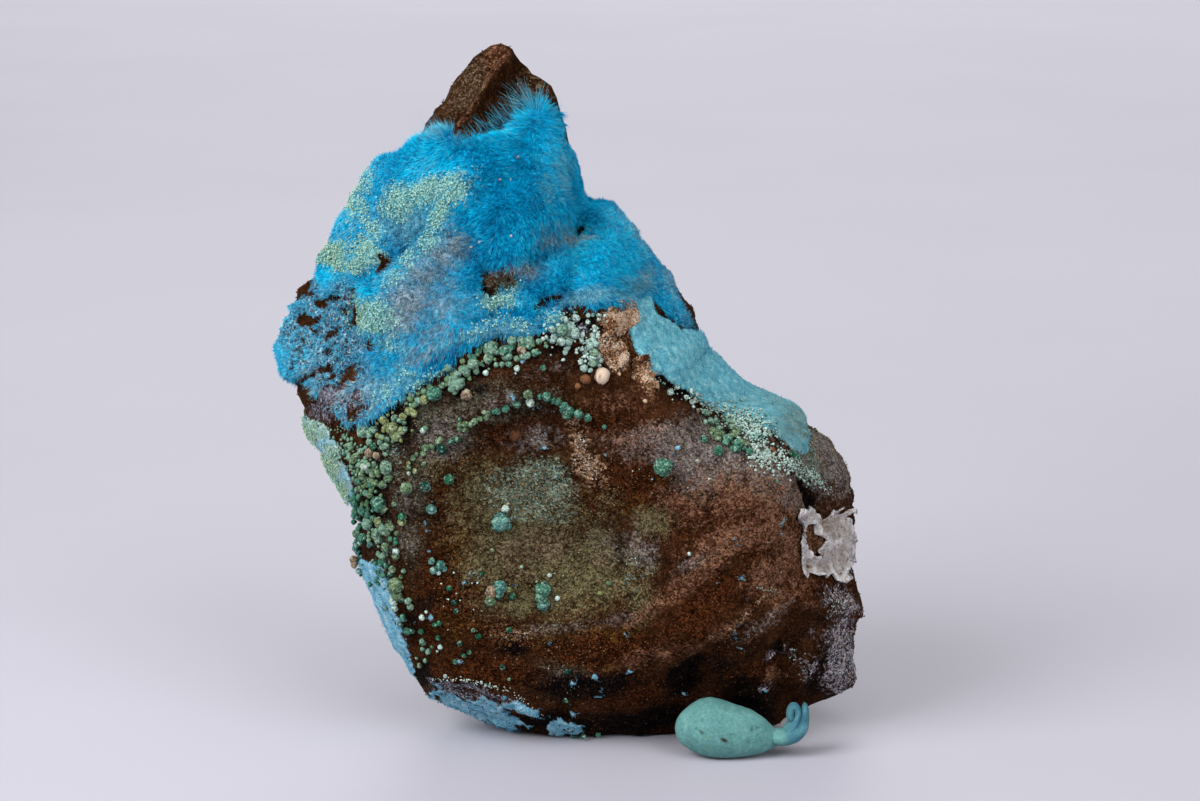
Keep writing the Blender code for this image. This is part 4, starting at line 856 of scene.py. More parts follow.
class Finish:
    """A material being built: each method adds one node and returns its output."""

    def __init__(self, name):
        self.material = bpy.data.materials.new(name)
        self.material.use_nodes = True
        self.tree = self.material.node_tree
        self.shader = self.tree.nodes["Principled BSDF"]

    def node(self, kind, values=(), **settings):
        made = self.tree.nodes.new("ShaderNode" + kind)
        for key, value in settings.items():
            setattr(made, key, value)
        for key, value in dict(values).items():
            self.fill(made.inputs[key], value)
        return made

    def fill(self, socket, value):
        if isinstance(value, bpy.types.NodeSocket):
            self.tree.links.new(value, socket)
        else:
            socket.default_value = value

    def place(self):
        return self.node("TexCoord").outputs["Object"]

    def zones(self, name):
        """The three numbers that an attribute of the mesh holds."""
        colour = self.node("Attribute", attribute_name=name).outputs["Color"]
        return self.node("SeparateColor", {"Color": colour}).outputs[:3]

    def noise(self, size, detail=4.0, roughness=0.6, distortion=0.0):
        """Noise whose features are size mm across."""
        return self.node("TexNoise", {
            "Vector": self.place(), "Scale": 1.0 / (size * MM), "Detail": detail, "Roughness": roughness,
            "Distortion": distortion,
        }).outputs["Fac"]

    def cells(self, size):
        """Distance to the middle of each random cell, size mm across, and the cell's three random numbers."""
        made = self.node("TexVoronoi", {"Vector": self.place(), "Scale": 1.0 / (size * MM)})
        split = self.node("SeparateColor", {"Color": made.outputs["Color"]})
        return made.outputs["Distance"], split.outputs[:3]

    def math(self, operation, first, second=0.0):
        return self.node("Math", {0: first, 1: second}, operation=operation).outputs[0]

    def times(self, first, second):
        return self.math("MULTIPLY", first, second)

    def plus(self, first, second):
        return self.math("ADD", first, second)

    def between(self, value, low, high):
        """Smooth climb from 0 where value is low to 1 where it is high."""
        ends = {"Value": value, "From Min": low, "From Max": high}
        return self.node("MapRange", ends, interpolation_type="SMOOTHSTEP").outputs["Result"]

    def ragged(self, cover, grain, amount, low=0.35, high=0.65):
        """A cover's number pushed up and down by a grain, so that its edge breaks up; 0 stays 0."""
        push = self.times(self.math("SUBTRACT", grain, 0.5), amount)
        push = self.times(push, self.between(cover, 0.0, 0.3))
        return self.between(self.plus(cover, push), low, high)

    def mix(self, first, second, share):
        made = self.node("Mix", data_type="RGBA")
        for socket, value in ((made.inputs[0], share), (made.inputs[6], first), (made.inputs[7], second)):
            self.fill(socket, value)
        return made.outputs[2]

    def ramp(self, value, *stops):
        made = self.node("ValToRGB", {"Fac": value})
        band = made.color_ramp.elements
        while len(band) < len(stops):
            band.new(0.5)
        for element, (at, colour) in zip(band, stops):
            element.position, element.color = at, rgb(*colour)
        return made.outputs["Color"]

    def tones(self, grain, dark, middle, light):
        """Dark, middle and light tones over the usual reach of a noise."""
        return self.ramp(grain, (0.36, dark), (0.5, middle), (0.64, light))

    def bump(self, height, depth, normal=None):
        """Relief of depth mm, over another relief's normal if one is given."""
        values = {"Height": height, "Distance": depth * MM, "Strength": 1.0}
        if normal is not None:
            values["Normal"] = normal
        return self.node("Bump", values).outputs["Normal"]

    def done(self, **values):
        for key, value in values.items():
            self.fill(self.shader.inputs[key.replace("_", " ")], value)
        return self.material


def palette_finish(name, stops, roughness, level, relief=None):
    """Colour by the OFBake palette: u picks the hue, and v runs from its deep tone to its light one."""
    f = Finish(name)
    uv = f.node("SeparateXYZ", {"Vector": f.node("UVMap", uv_map="OFBake").outputs["UV"]}).outputs
    deep = f.ramp(uv[0], *[(at, colour) for at, colour, _ in stops])
    light = f.ramp(uv[0], *[(at, colour) for at, _, colour in stops])
    tone = f.mix(deep, light, f.between(uv[1], 0.02, 0.85))
    f.done(Base_Color=tone, Roughness=roughness, Specular_IOR_Level=level)
    if relief:
        size, depth = relief
        f.done(Normal=f.bump(f.noise(size, 3), depth))
    return f.material


def granular_finish():
    """Crumbly balls: the mesh's shaded tint, darker and lighter from grain to grain: painted shade in the
    crevices, and paler grains that are partly painted highlight.
    """
    f = Finish("crumbly_spherules")
    shaded_tint = f.node("Attribute", attribute_name="shaded_tint").outputs["Color"]
    distance, seed = f.cells(0.13)
    # Painted shade: dark grains and patches as crevices; paler grains are partly painted highlight.
    dark = f.mix(shaded_tint, rgb(4, 18, 16), 0.62)
    pale = f.mix(shaded_tint, rgb(196, 214, 200), 0.34)
    tone = f.mix(dark, shaded_tint, f.between(seed[0], 0.0, 0.42))
    tone = f.mix(tone, pale, f.between(seed[0], 0.62, 1.0))
    tone = f.mix(tone, dark, f.between(f.noise(0.3, 4, 0.7), 0.56, 0.68))
    return f.done(Base_Color=tone, Roughness=0.85, Specular_IOR_Level=0.08, Normal=f.bump(distance, 0.07))


# ---------------------------------------------------------------- rock

# Of the coverings below, dark is partly painted shade, silver and clay partly painted highlight, deep painted
# shade, and bright_and_lit partly painted light.
HELD = {  # which coverings each attribute of the rock's mesh carries
    "stain_a": ("grey", "rust", "olive"), "stain_b": ("umber", "sea", "dark"),
    "stain_c": ("trail", "ochre", "silver"), "stain_d": ("frost", "dust", "pale"),
    "stain_e": ("clay", "slate", "amber"), "crust_a": ("velvet", "band", "blue"),
    "crust_b": ("mint", "violet", "deep"), "crust_c": ("bright_and_lit", "lace", "worn"),
}

# The velvet's felt under the needles: each zone's dark, middle and light tones, the topmost zone last.
FELT_TONES = {
    # bright_and_lit is partly painted light, and deep is painted shade.
    "bright_and_lit": ((0, 148, 196), (4, 186, 230), (52, 206, 238)),
    "deep": ((0, 76, 116), (0, 104, 148), (14, 126, 168)),
    "pale": ((70, 136, 164), (106, 168, 192), (150, 196, 208)),
    "violet": ((76, 92, 106), (120, 148, 164), (168, 186, 200)),
    "mint": ((62, 126, 130), (114, 174, 170), (176, 216, 202)),
    "lace": ((24, 84, 120), (74, 144, 178), (164, 212, 228)),
}


def rock_finish():
    """Iron-stained rock speckled with fine crystals: stains laid one over another, partly painted shade and
    highlight, then the crusts' felt.
    """
    f = Finish("iron_stained_rock")
    cover = {}
    for key, names in HELD.items():
        cover.update(zip(names, f.zones(key)))
    cloudy = f.noise(2.6, 6, 0.65, 0.5)
    fine = f.noise(0.24, 4, 0.7)
    sharp, seed = f.cells(0.115)
    coarse, pick = f.cells(0.2)
    patchy = f.plus(f.times(f.noise(1.0, 5, 0.65, 0.4), 0.5), f.times(fine, 0.5))
    speck = f.plus(f.times(patchy, 0.76), f.times(seed[0], 0.24))
    # Each grain takes one stain or another by its own random number.
    numbers = (seed[1], pick[1], seed[2], pick[2])
    chances = [f.plus(f.times(patchy, 0.7), f.times(number, 0.3)) for number in numbers]
    tone = f.mix(f.tones(cloudy, (24, 9, 2), (48, 25, 10), (78, 46, 26)),
                 f.tones(speck, (16, 6, 1), (46, 25, 11), (90, 58, 36)), 0.5)
    for number, (name, (dark, middle, light, grain, _)) in enumerate(STAINS.items()):
        share = f.ragged(cover[name], chances[number % 4], grain * 2.2, 0.12, 0.75)
        tone = f.mix(tone, f.tones(speck, dark, middle, light), share)
    # Bright specks: a few grains take a pale crystal tone, partly painted glint.
    glint = f.times(f.between(coarse, 0.34, 0.16), f.between(pick[0], 0.84, 0.92))
    glint_tone = f.mix(f.tones(speck, (96, 62, 32), (134, 104, 70), (176, 152, 122)), tone, 0.25)
    tone = f.mix(tone, glint_tone, f.times(glint, 0.5))
    # Painted shade: dark dots in pits between the grains.
    shaded_pit = f.times(f.between(sharp, 0.40, 0.16), f.between(seed[2], 0.78, 0.9))
    tone = f.mix(tone, f.tones(fine, (6, 3, 2), (18, 9, 6), (34, 20, 14)), f.times(shaded_pit, 0.45))

    felt = f.noise(0.26, 4, 0.7)
    shares = dict(cover, mint=f.ragged(cover["mint"], fine, 1.6), lace=f.between(cover["lace"], 0.2, 0.7))
    azure = f.tones(felt, (0, 106, 154), (0, 146, 196), (16, 178, 224))
    for name, tones in FELT_TONES.items():
        grain = felt if name in ("bright_and_lit", "deep", "pale") else fine
        azure = f.mix(azure, f.tones(grain, *tones), shares[name])
    dusty = f.ragged(cover["dust"], speck, 1.8, 0.4, 0.9)
    tone = f.mix(tone, f.tones(fine, (78, 76, 88), (116, 118, 134), (158, 164, 178)), dusty)
    tone = f.mix(tone, azure, f.ragged(cover["velvet"], felt, 0.5))
    worms = f.math("ABSOLUTE", f.math("SUBTRACT", f.noise(0.36, 3, 0.6), 0.5))
    net = f.times(f.between(cover["lace"], 0.3, 0.7), f.between(worms, 0.036, 0.075))
    net = f.times(net, cover["velvet"])
    tone = f.mix(tone, f.tones(fine, (26, 18, 14), (60, 46, 42), (106, 92, 92)), net)
    band = f.tones(f.noise(0.5, 5, 0.7), (80, 155, 175), (108, 184, 203), (154, 210, 217))
    band = f.mix(band, f.tones(felt, (40, 124, 168), (78, 162, 200), (124, 190, 214)), cover["bright_and_lit"])
    band = f.mix(band, f.tones(patchy, (74, 98, 100), (106, 136, 136), (142, 170, 166)), cover["worn"])
    tone = f.mix(tone, band, f.ragged(cover["band"], felt, 0.5))
    sky = f.tones(f.noise(0.6, 5, 0.7), (92, 146, 172), (126, 184, 208), (174, 210, 222))
    minty = f.between(cover["mint"], 0.2, 0.6)
    sky = f.mix(sky, f.tones(fine, (102, 138, 136), (156, 188, 186), (200, 220, 216)), minty)
    broken = f.times(f.between(f.noise(0.7, 4, 0.65), 0.32, 0.42), cover["blue"])
    tone = f.mix(tone, sky, f.ragged(broken, felt, 1.0))
    rough = f.plus(0.62, f.times(seed[2], 0.3))
    normal = f.bump(fine, 0.24, f.bump(sharp, 0.08))
    return f.done(Base_Color=tone, Roughness=rough, Normal=normal, Specular_IOR_Level=0.02)


ROCK_COLUMNS, ROCK_FRONT_ROWS, ROCK_BACK_ROWS = 520, 142, 48


def rock():
    """Rings of the skin table from the front centre to the back centre, with its coverings as attributes."""
    front = np.arange(1, ROCK_FRONT_ROWS + 1) / ROCK_FRONT_ROWS
    back = 1 + np.arange(1, ROCK_BACK_ROWS) / ROCK_BACK_ROWS
    a, r = np.meshgrid(ANGLES * np.arange(ROCK_COLUMNS) / ROCK_COLUMNS,
                       (REACHES - 1) / 2 * np.concatenate([front, back]))

    def sampled(table):
        ring = read_table(table, a, r).reshape(a.size, -1)
        return np.concatenate([ring, np.array([table[0, 0], table[0, -1]]).reshape(2, -1)])

    held = dict(ZONE, blue=np.clip(ZONE["strip"] + ZONE["foot"], 0, 1))
    attributes = {key: np.hstack([sampled(held[name]) for name in names]) for key, names in HELD.items()}
    piece = mesh_object("rock", sampled(SKIN), closed_faces(*a.shape), rock_finish(), attributes=attributes)
    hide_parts("host_rock")


# ---------------------------------------------------------------- velvet needles

# Rosettes: x, y, radius in pixels, and how strongly their needles lean away from the middle.
ROSETTES = [
    (536, 118, 74, 2.2), (452, 142, 34, 1.2), (420, 160, 44, 0.7), (603, 250, 44, 1.5), (500, 212, 40, 0.6),
    (556, 200, 40, 0.7), (450, 320, 50, 0.7), (500, 330, 40, 0.7), (650, 240, 40, 0.6), (585, 292, 30, 0.8),
    (330, 330, 40, 0.7), (360, 380, 40, 0.7), (476, 168, 40, 0.7), (380, 220, 40, 0.5),
]

# Needle palette: place along u, root's colour, tip's colour.
AZURE, CYAN, SKY, TURQUOISE = 0.03, 0.17, 0.31, 0.45
AQUA, MINT_TIP, VIOLET_GREY, WHITISH = 0.59, 0.72, 0.86, 0.98
NEEDLE_STOPS = [
    (AZURE, (0, 86, 134), (0, 178, 232)), (CYAN, (0, 150, 200), (0, 230, 255)),
    (SKY, (20, 124, 164), (90, 198, 234)), (TURQUOISE, (68, 142, 168), (140, 214, 232)),
    (AQUA, (84, 152, 162), (160, 218, 222)), (MINT_TIP, (92, 150, 142), (180, 222, 206)),
    (VIOLET_GREY, (88, 108, 124), (172, 194, 208)), (WHITISH, (138, 164, 182), (214, 228, 234)),
]


def spread_over(weight, count, rng, rows=slice(0, None)):
    """Random table positions, likelier where the skin is larger and weight is higher."""
    across, along = np.roll(SKIN, -1, axis=0)[:, :-1] - SKIN[:, :-1], SKIN[:, 1:] - SKIN[:, :-1]
    area = np.linalg.norm(np.cross(across, along), axis=-1)
    chance = np.zeros_like(area)
    chance[:, rows] = (area * np.clip(weight[:, :-1], 0, None))[:, rows]
    running = np.cumsum(chance.ravel())
    picked = np.searchsorted(running, rng.random(count) * running[-1])
    a, r = np.divmod(picked, chance.shape[1])
    return a + rng.random(count), np.minimum(r + rng.random(count), REACHES - 1.001)


def combed(roots, normals, pixels):
    """The way needles lean: out of rosettes, and otherwise downhill with slow random swirls."""
    lean = np.zeros_like(roots)
    for x, y, radius, strength in ROSETTES:
        away = pixels - [x, y]
        distance = np.linalg.norm(away, axis=1, keepdims=True)
        pull = strength * np.exp(-((distance / radius) ** 2)) * np.clip(distance / 8, 0, 1)
        lean += pull * np.column_stack([away[:, 0], np.zeros(len(away)), -away[:, 1]]) / (distance + 1e-6)
    swirl = np.stack([cloud(roots, 3.0, seed, 2) for seed in (101, 131, 151)], axis=-1)
    lean += 0.7 * swirl + [0.0, 0.0, -0.25]
    return lean - normals * np.einsum("ij,ij->i", lean, normals)[:, None]


def needle_mesh(name, roots, ways, lengths, widths, shades, material, tips=None):
    """Closed three-sided spikes: a small triangle sunk at each root, drawn out to a point at the tip."""
    count = len(roots)
    side = unit(np.cross(ways, [0.31, 0.57, 0.76]))
    other = np.cross(ways, side)
    verts = np.empty((count, 4, 3))
    for corner in range(3):
        turn = 2 * math.pi * corner / 3
        rim = side * math.cos(turn) + other * math.sin(turn)
        verts[:, corner] = roots - 0.06 * ways + rim * widths[:, None]
    verts[:, 3] = roots + ways * lengths[:, None]
    faces = np.array([[0, 1, 3], [1, 2, 3], [2, 0, 3], [0, 2, 1]])
    faces = (faces[None] + 4 * np.arange(count)[:, None, None]).reshape(-1, 3)
    palette = np.empty((count, 4, 2))
    palette[:, :, 0] = shades[:, None] + np.array([-0.006, 0.0, 0.006, 0.0])
    palette[:, :, 1] = np.array([0.01, 0.05, 0.01, 0.0])
    palette[:, 3, 1] = np.random.default_rng(count).uniform(0.4, 0.99, count) if tips is None else tips
    return mesh_object(name, verts.reshape(-1, 3), faces, material, smooth=False, uv=palette.reshape(-1, 2))


def needles(name, weight, length, shade, tufts, per_tuft, material, seed, spread=0.28, rows=slice(0, None),
            lean=1.4, spot_tones=()):
    """Tufts of needles: each tuft's fan out from one spot about the way that the velvet is combed there.

    A tuft's tone comes from the shade table, or from one of the zones in spot_tones, the likelier the
    stronger that zone is.
    """
    rng = np.random.default_rng(seed)
    a, r = spread_over(weight, tufts, rng, rows)
    roots, normals = skin_at(a, r)
    comb = combed(roots, normals, read_table(PIXELS, a, r))
    reach = read_table(length, a, r) * rng.uniform(0.7, 1.25, tufts)
    tone = read_table(shade, a, r) + rng.normal(0, 0.045, tufts)
    for zone, target in dict(spot_tones).items():
        takes = read_table(ZONE[zone], a, r) > rng.uniform(0.08, 0.85, tufts)
        tone = np.where(takes, target + rng.normal(0, 0.035, tufts), tone)
    tone = np.where((tone > 0.56) & (tone < 0.76) & (rng.random(tufts) < 0.22), 0.12, tone)
    tone = np.where((rng.random(tufts) < 0.10) & (tone < 0.4), tone + 0.16, tone)
    many = np.repeat(np.arange(tufts), per_tuft)
    count = len(many)
    ways = unit(normals[many] + lean * comb[many] + rng.normal(0, spread, (count, 3)))
    rise = np.einsum("ij,ij->i", ways, normals[many])
    ways = unit(ways + normals[many] * np.clip(0.12 - rise, 0, None)[:, None])
    starts = roots[many] + rng.normal(0, 0.06, (count, 3)) - 0.04 * normals[many]
    lengths = reach[many] * rng.uniform(0.45, 1.1, count)
    shades = np.clip(tone[many] + rng.normal(0, 0.035, count), 0.01, 0.99)
    tips = 0.76 + 0.8 * cloud(roots, 1.1, seed + 500, 3, 0.6) + rng.normal(0, 0.26, tufts)
    # Painted shade: tips darker where the deep zone lies; a few tufts darker at random.
    tips -= 0.45 * read_table(ZONE["deep"], a, r) + 0.45 * (rng.random(tufts) < 0.09)
    tips = np.clip(tips[many] + rng.normal(0, 0.24, count), 0.05, 0.99)
    widths = rng.uniform(0.015, 0.028, count)
    return needle_mesh(name, starts, ways, lengths, widths, shades, material, tips)


LONG_NEEDLES = [(536, 104, 26, 20), (444, 134, 26, 12, 0.55), (484, 128, 30, 10, 0.5)]
SHORT_NEEDLES = [(680, 270, 34, 70, 1, 30), (640, 205, 40, 30, 0.8, 30), (578, 162, 14, 30, 1, -14)]
BAND_ENDS = [(776, 426, 40, 26, 1, 30), (640, 320, 20, 20, 0.6)]  # where the band's needles are paler

# Where the velvet's spots lie on the needle palette; deep is painted shade and bright_and_lit partly painted
# light.
SPOT_TONES = {"deep": 0.04, "bright_and_lit": 0.20, "pale": 0.45, "lace": 0.33, "mint": 0.65, "violet": VIOLET_GREY}

# Sprays of long needles that stand free at the tip: x, y of the root and of the tips, and how many needles.
SPRAYS = [
    (533, 108, 496, 101, 16), (533, 108, 505, 87, 16), (534, 108, 516, 76, 18), (535, 108, 525, 79, 16),
    (537, 108, 533, 84, 16), (538, 108, 541, 86, 16), (540, 109, 548, 92, 14), (546, 112, 553, 104, 10),
    (520, 116, 504, 100, 18), (512, 119, 497, 104, 18), (503, 124, 486, 110, 18), (495, 128, 480, 116, 18),
    (487, 131, 473, 119, 16), (479, 136, 468, 124, 16), (471, 142, 460, 130, 16), (462, 146, 455, 133, 14),
    (452, 142, 447, 120, 18), (446, 138, 438, 114, 20), (440, 136, 430, 114, 18), (434, 136, 423, 118, 16),
    (427, 138, 414, 124, 14), (420, 140, 406, 130, 10), (526, 112, 512, 92, 16), (530, 110, 519, 84, 14),
    (556, 132, 562, 124, 8), (560, 146, 568, 140, 8),
]
SPRAY_SCATTER = 0.3  # how far from its spray's place a needle may be rooted, in mm


def sprays(finish):
    """Needles in a fan from each root towards its tips, a little out of the picture's plane."""
    rng = np.random.default_rng(9)
    x, y, tip_x, tip_y, how_many = np.array(SPRAYS, float).T
    roots, normals = on_rock(np.column_stack([x, y]))
    many = np.repeat(np.arange(len(SPRAYS)), how_many.astype(int))
    reach = np.column_stack([tip_x - x, np.zeros(len(x)), (y - tip_y) / math.cos(TILT)]) * PIXEL
    length = np.linalg.norm(reach, axis=1)[many] * rng.uniform(0.35, 1.2, len(many))
    ways = unit(unit(reach)[many] + 0.3 * normals[many] + rng.normal(0, 0.2, (len(many), 3)))
    starts = roots[many] + SPRAY_SCATTER * rng.normal(0, 1, (len(many), 3)) * [1, 0.4, 0.7]
    pale = rng.random(len(many)) < 0.45
    shades = np.where(pale, rng.uniform(0.42, 0.55, len(many)), rng.uniform(0.1, 0.34, len(many)))
    widths = rng.uniform(0.011, 0.019, len(many))
    return needle_mesh("needles_tip", starts, ways, length, widths, shades, finish)


def velvets(finish):
    """The blue velvet's long needles, the band's short ones, and the stubble of the thin crusts."""
    wobble = cloud(SKIN, 1.6, 211, 4, 0.65)
    middle = REACHES // 2
    tuft, flank = spots(PIXELS, LONG_NEEDLES), spots(PIXELS, SHORT_NEEDLES)
    edge = np.exp(-(((np.arange(REACHES) - middle) / 22.0) ** 2))[None, :]
    length = 0.62 + 0.7 * tuft - 0.25 * flank - 0.32 * ZONE["mint"] - 0.28 * ZONE["lace"] - 0.3 * edge
    length = np.clip(length, 0.2, 1.3)
    left, low = step_up(470, 380, PIXELS[..., 0]), step_up(290, 330, PIXELS[..., 1])
    shade = 0.12 + 0.18 * wobble + 0.17 * left * step_up(150, 190, PIXELS[..., 1])
    shade += 0.06 * low * step_up(570, 500, PIXELS[..., 0])
    weight = ZONE["velvet"] * (1 - 0.3 * ZONE["violet"]) * (1 - 0.5 * ZONE["lace"]) * (1 - 0.5 * ZONE["mint"])
    front, behind = slice(0, middle + 10), slice(middle + 10, None)
    for seed, (name, share, tufts, rows) in enumerate((
        ("needles_upper", weight * step_up(250, 200, PIXELS[..., 1]), 12000, front),
        ("needles_lower", weight * step_up(200, 250, PIXELS[..., 1]), 12000, front),
        ("needles_back", weight, 3000, behind),
    ), start=1):
        piece = needles(name, share, length, shade, tufts, 4, finish, seed, rows=rows, spot_tones=SPOT_TONES)
        if name == "needles_upper":
            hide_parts("velvet_cap")
    sprays(finish)
    short = 0.17 + 0.04 * wobble
    turquoise = 0.47 + 0.06 * wobble - 0.12 * ZONE["bright_and_lit"] + 0.14 * spots(PIXELS, BAND_ENDS)
    weight = ZONE["band"] * (1 - 0.5 * ZONE["worn"])
    piece = needles("needles_band", weight, 0.6 * short, turquoise, 6500, 3, finish, 4, 0.8, lean=0.4)
    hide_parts("velvet_band")
    sky = 0.36 + 0.05 * wobble + 0.28 * step_up(545, 515, PIXELS[..., 1])
    blue = np.clip(ZONE["strip"] + ZONE["foot"], 0, 1)
    piece = needles("needles_flank", blue, short, sky, 3000, 3, finish, 5, 0.5, lean=0.9)
    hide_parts("flank_crust", "foot_crust_left", "foot_crust_middle")


# ---------------------------------------------------------------- spherules

DARK, GREEN, SEA, MOSS, PALE, OLIVE, TEAL, FROST, TAN = 0.02, 0.14, 0.27, 0.40, 0.52, 0.64, 0.76, 0.88, 0.98
MINTY = 0.84
# Ball palette: hue, tone at the inner pole, tone at the outer pole; the climb between them is painted shade
# and light.
BALL_STOPS = [
    (DARK, (0, 18, 14), (8, 62, 50)), (GREEN, (4, 36, 26), (32, 96, 66)), (SEA, (4, 32, 28), (62, 116, 98)),
    (MOSS, (12, 30, 20), (94, 118, 84)), (PALE, (14, 40, 33), (108, 146, 127)),
    (OLIVE, (32, 36, 16), (122, 128, 76)), (TEAL, (4, 40, 42), (50, 114, 106)),
    (FROST, (72, 100, 94), (186, 210, 202)), (TAN, (46, 32, 22), (132, 108, 86)),
]

# Balls one by one: x, y and radius in camera pixels, and hue. First the string of beads over the basin.
BEADS = [
    (604.5, 426.3, 2.4, SEA), (587, 416.6, 3.8, SEA), (579, 413, 4, SEA), (568, 414.2, 4.2, SEA),
    (569.3, 409.4, 4.6, SEA), (563.3, 409.4, 3, SEA), (564.5, 404.5, 4.5, SEA), (557.8, 400.9, 3.5, SEA),
    (553.6, 399.7, 2.9, SEA), (547, 396, 4.3, SEA), (540.3, 396, 2.8, SEA), (529.4, 393.6, 4.5, MOSS),
    (529.4, 402, 4, FROST), (516, 403.3, 3.5, SEA), (505, 407.5, 3.8, SEA), (497.2, 410.6, 3, SEA),
    (494, 411.2, 2.5, SEA), (487, 413, 3.2, MOSS), (484, 412.2, 2.7, MOSS), (485.7, 417.4, 2.7, MOSS),
    (479.7, 417.8, 3, MOSS), (474.2, 420.9, 3.3, MOSS), (469.4, 424.3, 3, MOSS), (465, 423.6, 3, MOSS),
    (460.3, 423.9, 3, MOSS), (460.3, 428, 3, MOSS), (464, 429, 3, MOSS), (459.6, 419.4, 1.8, SEA),
    (456.5, 439, 3, GREEN), (450.4, 441.7, 2.7, SEA), (441, 448.4, 5, DARK), (441, 438.4, 2.8, MOSS),
    (438.4, 441, 2.8, MOSS), (432, 446.3, 2.6, MOSS), (426, 447.3, 3.5, MOSS), (423.4, 453.5, 2.8, MOSS),
    (416.7, 454, 2, MOSS), (413.2, 458.6, 2.7, MOSS), (423.4, 464.2, 2.3, MOSS), (408.6, 463.4, 2, OLIVE),
    (408.6, 467.8, 2.5, MOSS), (414.7, 470.8, 2.5, OLIVE), (408.6, 473, 2, FROST), (422.9, 430, 2.8, FROST),
]
BORDER = [
    (455, 385, 6, PALE), (459.6, 383.6, 5, PALE), (442, 386, 3, PALE), (435, 394, 6.5, SEA),
    (419, 400, 4, TEAL), (426, 399, 4.6, OLIVE), (411.6, 394, 3, PALE), (466.2, 394.8, 5, TAN),
    (411.6, 405, 2.5, PALE), (410.6, 411.6, 4.5, OLIVE), (414, 414, 3.5, OLIVE), (403.5, 416.7, 4, OLIVE),
    (395.3, 417.8, 3.5, PALE), (400, 420, 3, PALE), (384, 420, 4.5, OLIVE), (387, 425, 3.5, OLIVE),
    (392.8, 429, 6.5, OLIVE), (401.4, 431, 4, OLIVE), (405, 429, 3, PALE), (397.3, 437, 4.5, OLIVE),
    (364.7, 432, 5.5, PALE), (370.8, 434, 4.5, PALE), (375, 430.4, 4.5, SEA), (447, 367, 4, PALE),
    (453.6, 370.6, 3, SEA), (443.3, 385, 3, PALE), (456, 375.4, 4.5, PALE), (452.4, 378.5, 3.5, PALE),
    (461, 384, 4, PALE), (454, 388, 4.5, PALE), (462, 369.4, 4, PALE), (466.4, 369.4, 5, PALE),
    (473, 364.5, 5, PALE), (472.4, 358.5, 4, SEA), (476.6, 371.8, 2.8, PALE), (478.5, 351.2, 3, SEA),
    (483.3, 365, 1.6, TEAL), (486.3, 372.4, 2.8, FROST), (485, 349.4, 2.5, SEA), (493, 349.4, 6.5, PALE),
    (489.4, 358.5, 5, PALE), (497.9, 352.4, 3.5, PALE), (496.6, 365, 2.5, PALE), (501.5, 364.5, 3, PALE),
    (505, 351.2, 5.5, SEA), (507.5, 356.6, 5, PALE), (510, 352, 4, SEA), (509.4, 364, 3.2, PALE),
    (512.4, 341, 4.7, PALE), (512.4, 347.6, 3.5, SEA), (517.8, 368, 3.2, FROST), (517.2, 358.5, 3, PALE),
    (522, 351.2, 4.5, TAN), (523.3, 356, 4, PALE), (528, 354.8, 3.5, PALE), (522, 340.3, 4.5, PALE),
    (529.4, 340.3, 4.7, PALE), (524, 346.6, 3, SEA), (530, 346.4, 3, SEA), (534.2, 352.4, 3.5, SEA),
    (539, 342, 3, PALE), (543.3, 339, 2.2, FROST), (546.6, 336.9, 2, FROST), (546.3, 346.4, 2.7, GREEN),
    (542.7, 367.6, 2.8, SEA), (515.8, 373, 1.2, FROST), (556, 336, 4, MINTY), (561, 341, 4, MINTY),
    (553, 341, 3, MINTY), (552.4, 328, 4, MINTY), (562, 328, 5, PALE), (569.3, 328, 5, MINTY),
    (574.2, 334.2, 5, MINTY), (565.7, 334.2, 5, PALE), (563.3, 321, 4, MINTY), (568, 341.5, 4, MINTY),
    (566.3, 347.6, 3.5, MINTY), (565, 352.4, 2.8, MINTY), (581.5, 335.4, 2.7, FROST),
    (591.8, 335.4, 2.8, MINTY), (597.8, 335.4, 2, FROST), (581.5, 341.5, 2.5, MINTY),
    (587.5, 341.5, 3, MINTY), (592.4, 340.3, 3, MINTY), (590, 346.4, 4, MINTY), (595, 345, 3.5, MINTY),
    (581.5, 348.8, 2, FROST), (576.6, 349.4, 1.8, FROST), (576.6, 352.4, 1.6, FROST),
    (585.7, 351.8, 2, FROST), (585, 356, 2, FROST), (593.6, 352.4, 4.5, PALE), (592.4, 357.3, 4, MINTY),
    (597.2, 356, 3, MINTY), (593.6, 362, 4.5, PALE), (599.6, 359.7, 3, MINTY), (598.4, 365.7, 2.5, MINTY),
    (580.9, 361.5, 2.7, FROST), (585, 368.8, 3.7, MINTY), (590.5, 370.6, 2.5, MINTY),
    (575.4, 318.5, 4.2, MINTY), (588, 316, 2.3, MINTY), (593, 314.8, 2.3, PALE), (599, 316, 2.5, FROST),
    (599, 319.7, 2, FROST), (588, 322.7, 2.5, FROST), (593.6, 327, 2.3, FROST), (594.8, 330.6, 2.5, FROST),
    (604.5, 316, 1.8, FROST), (607, 322, 1.3, FROST),
]
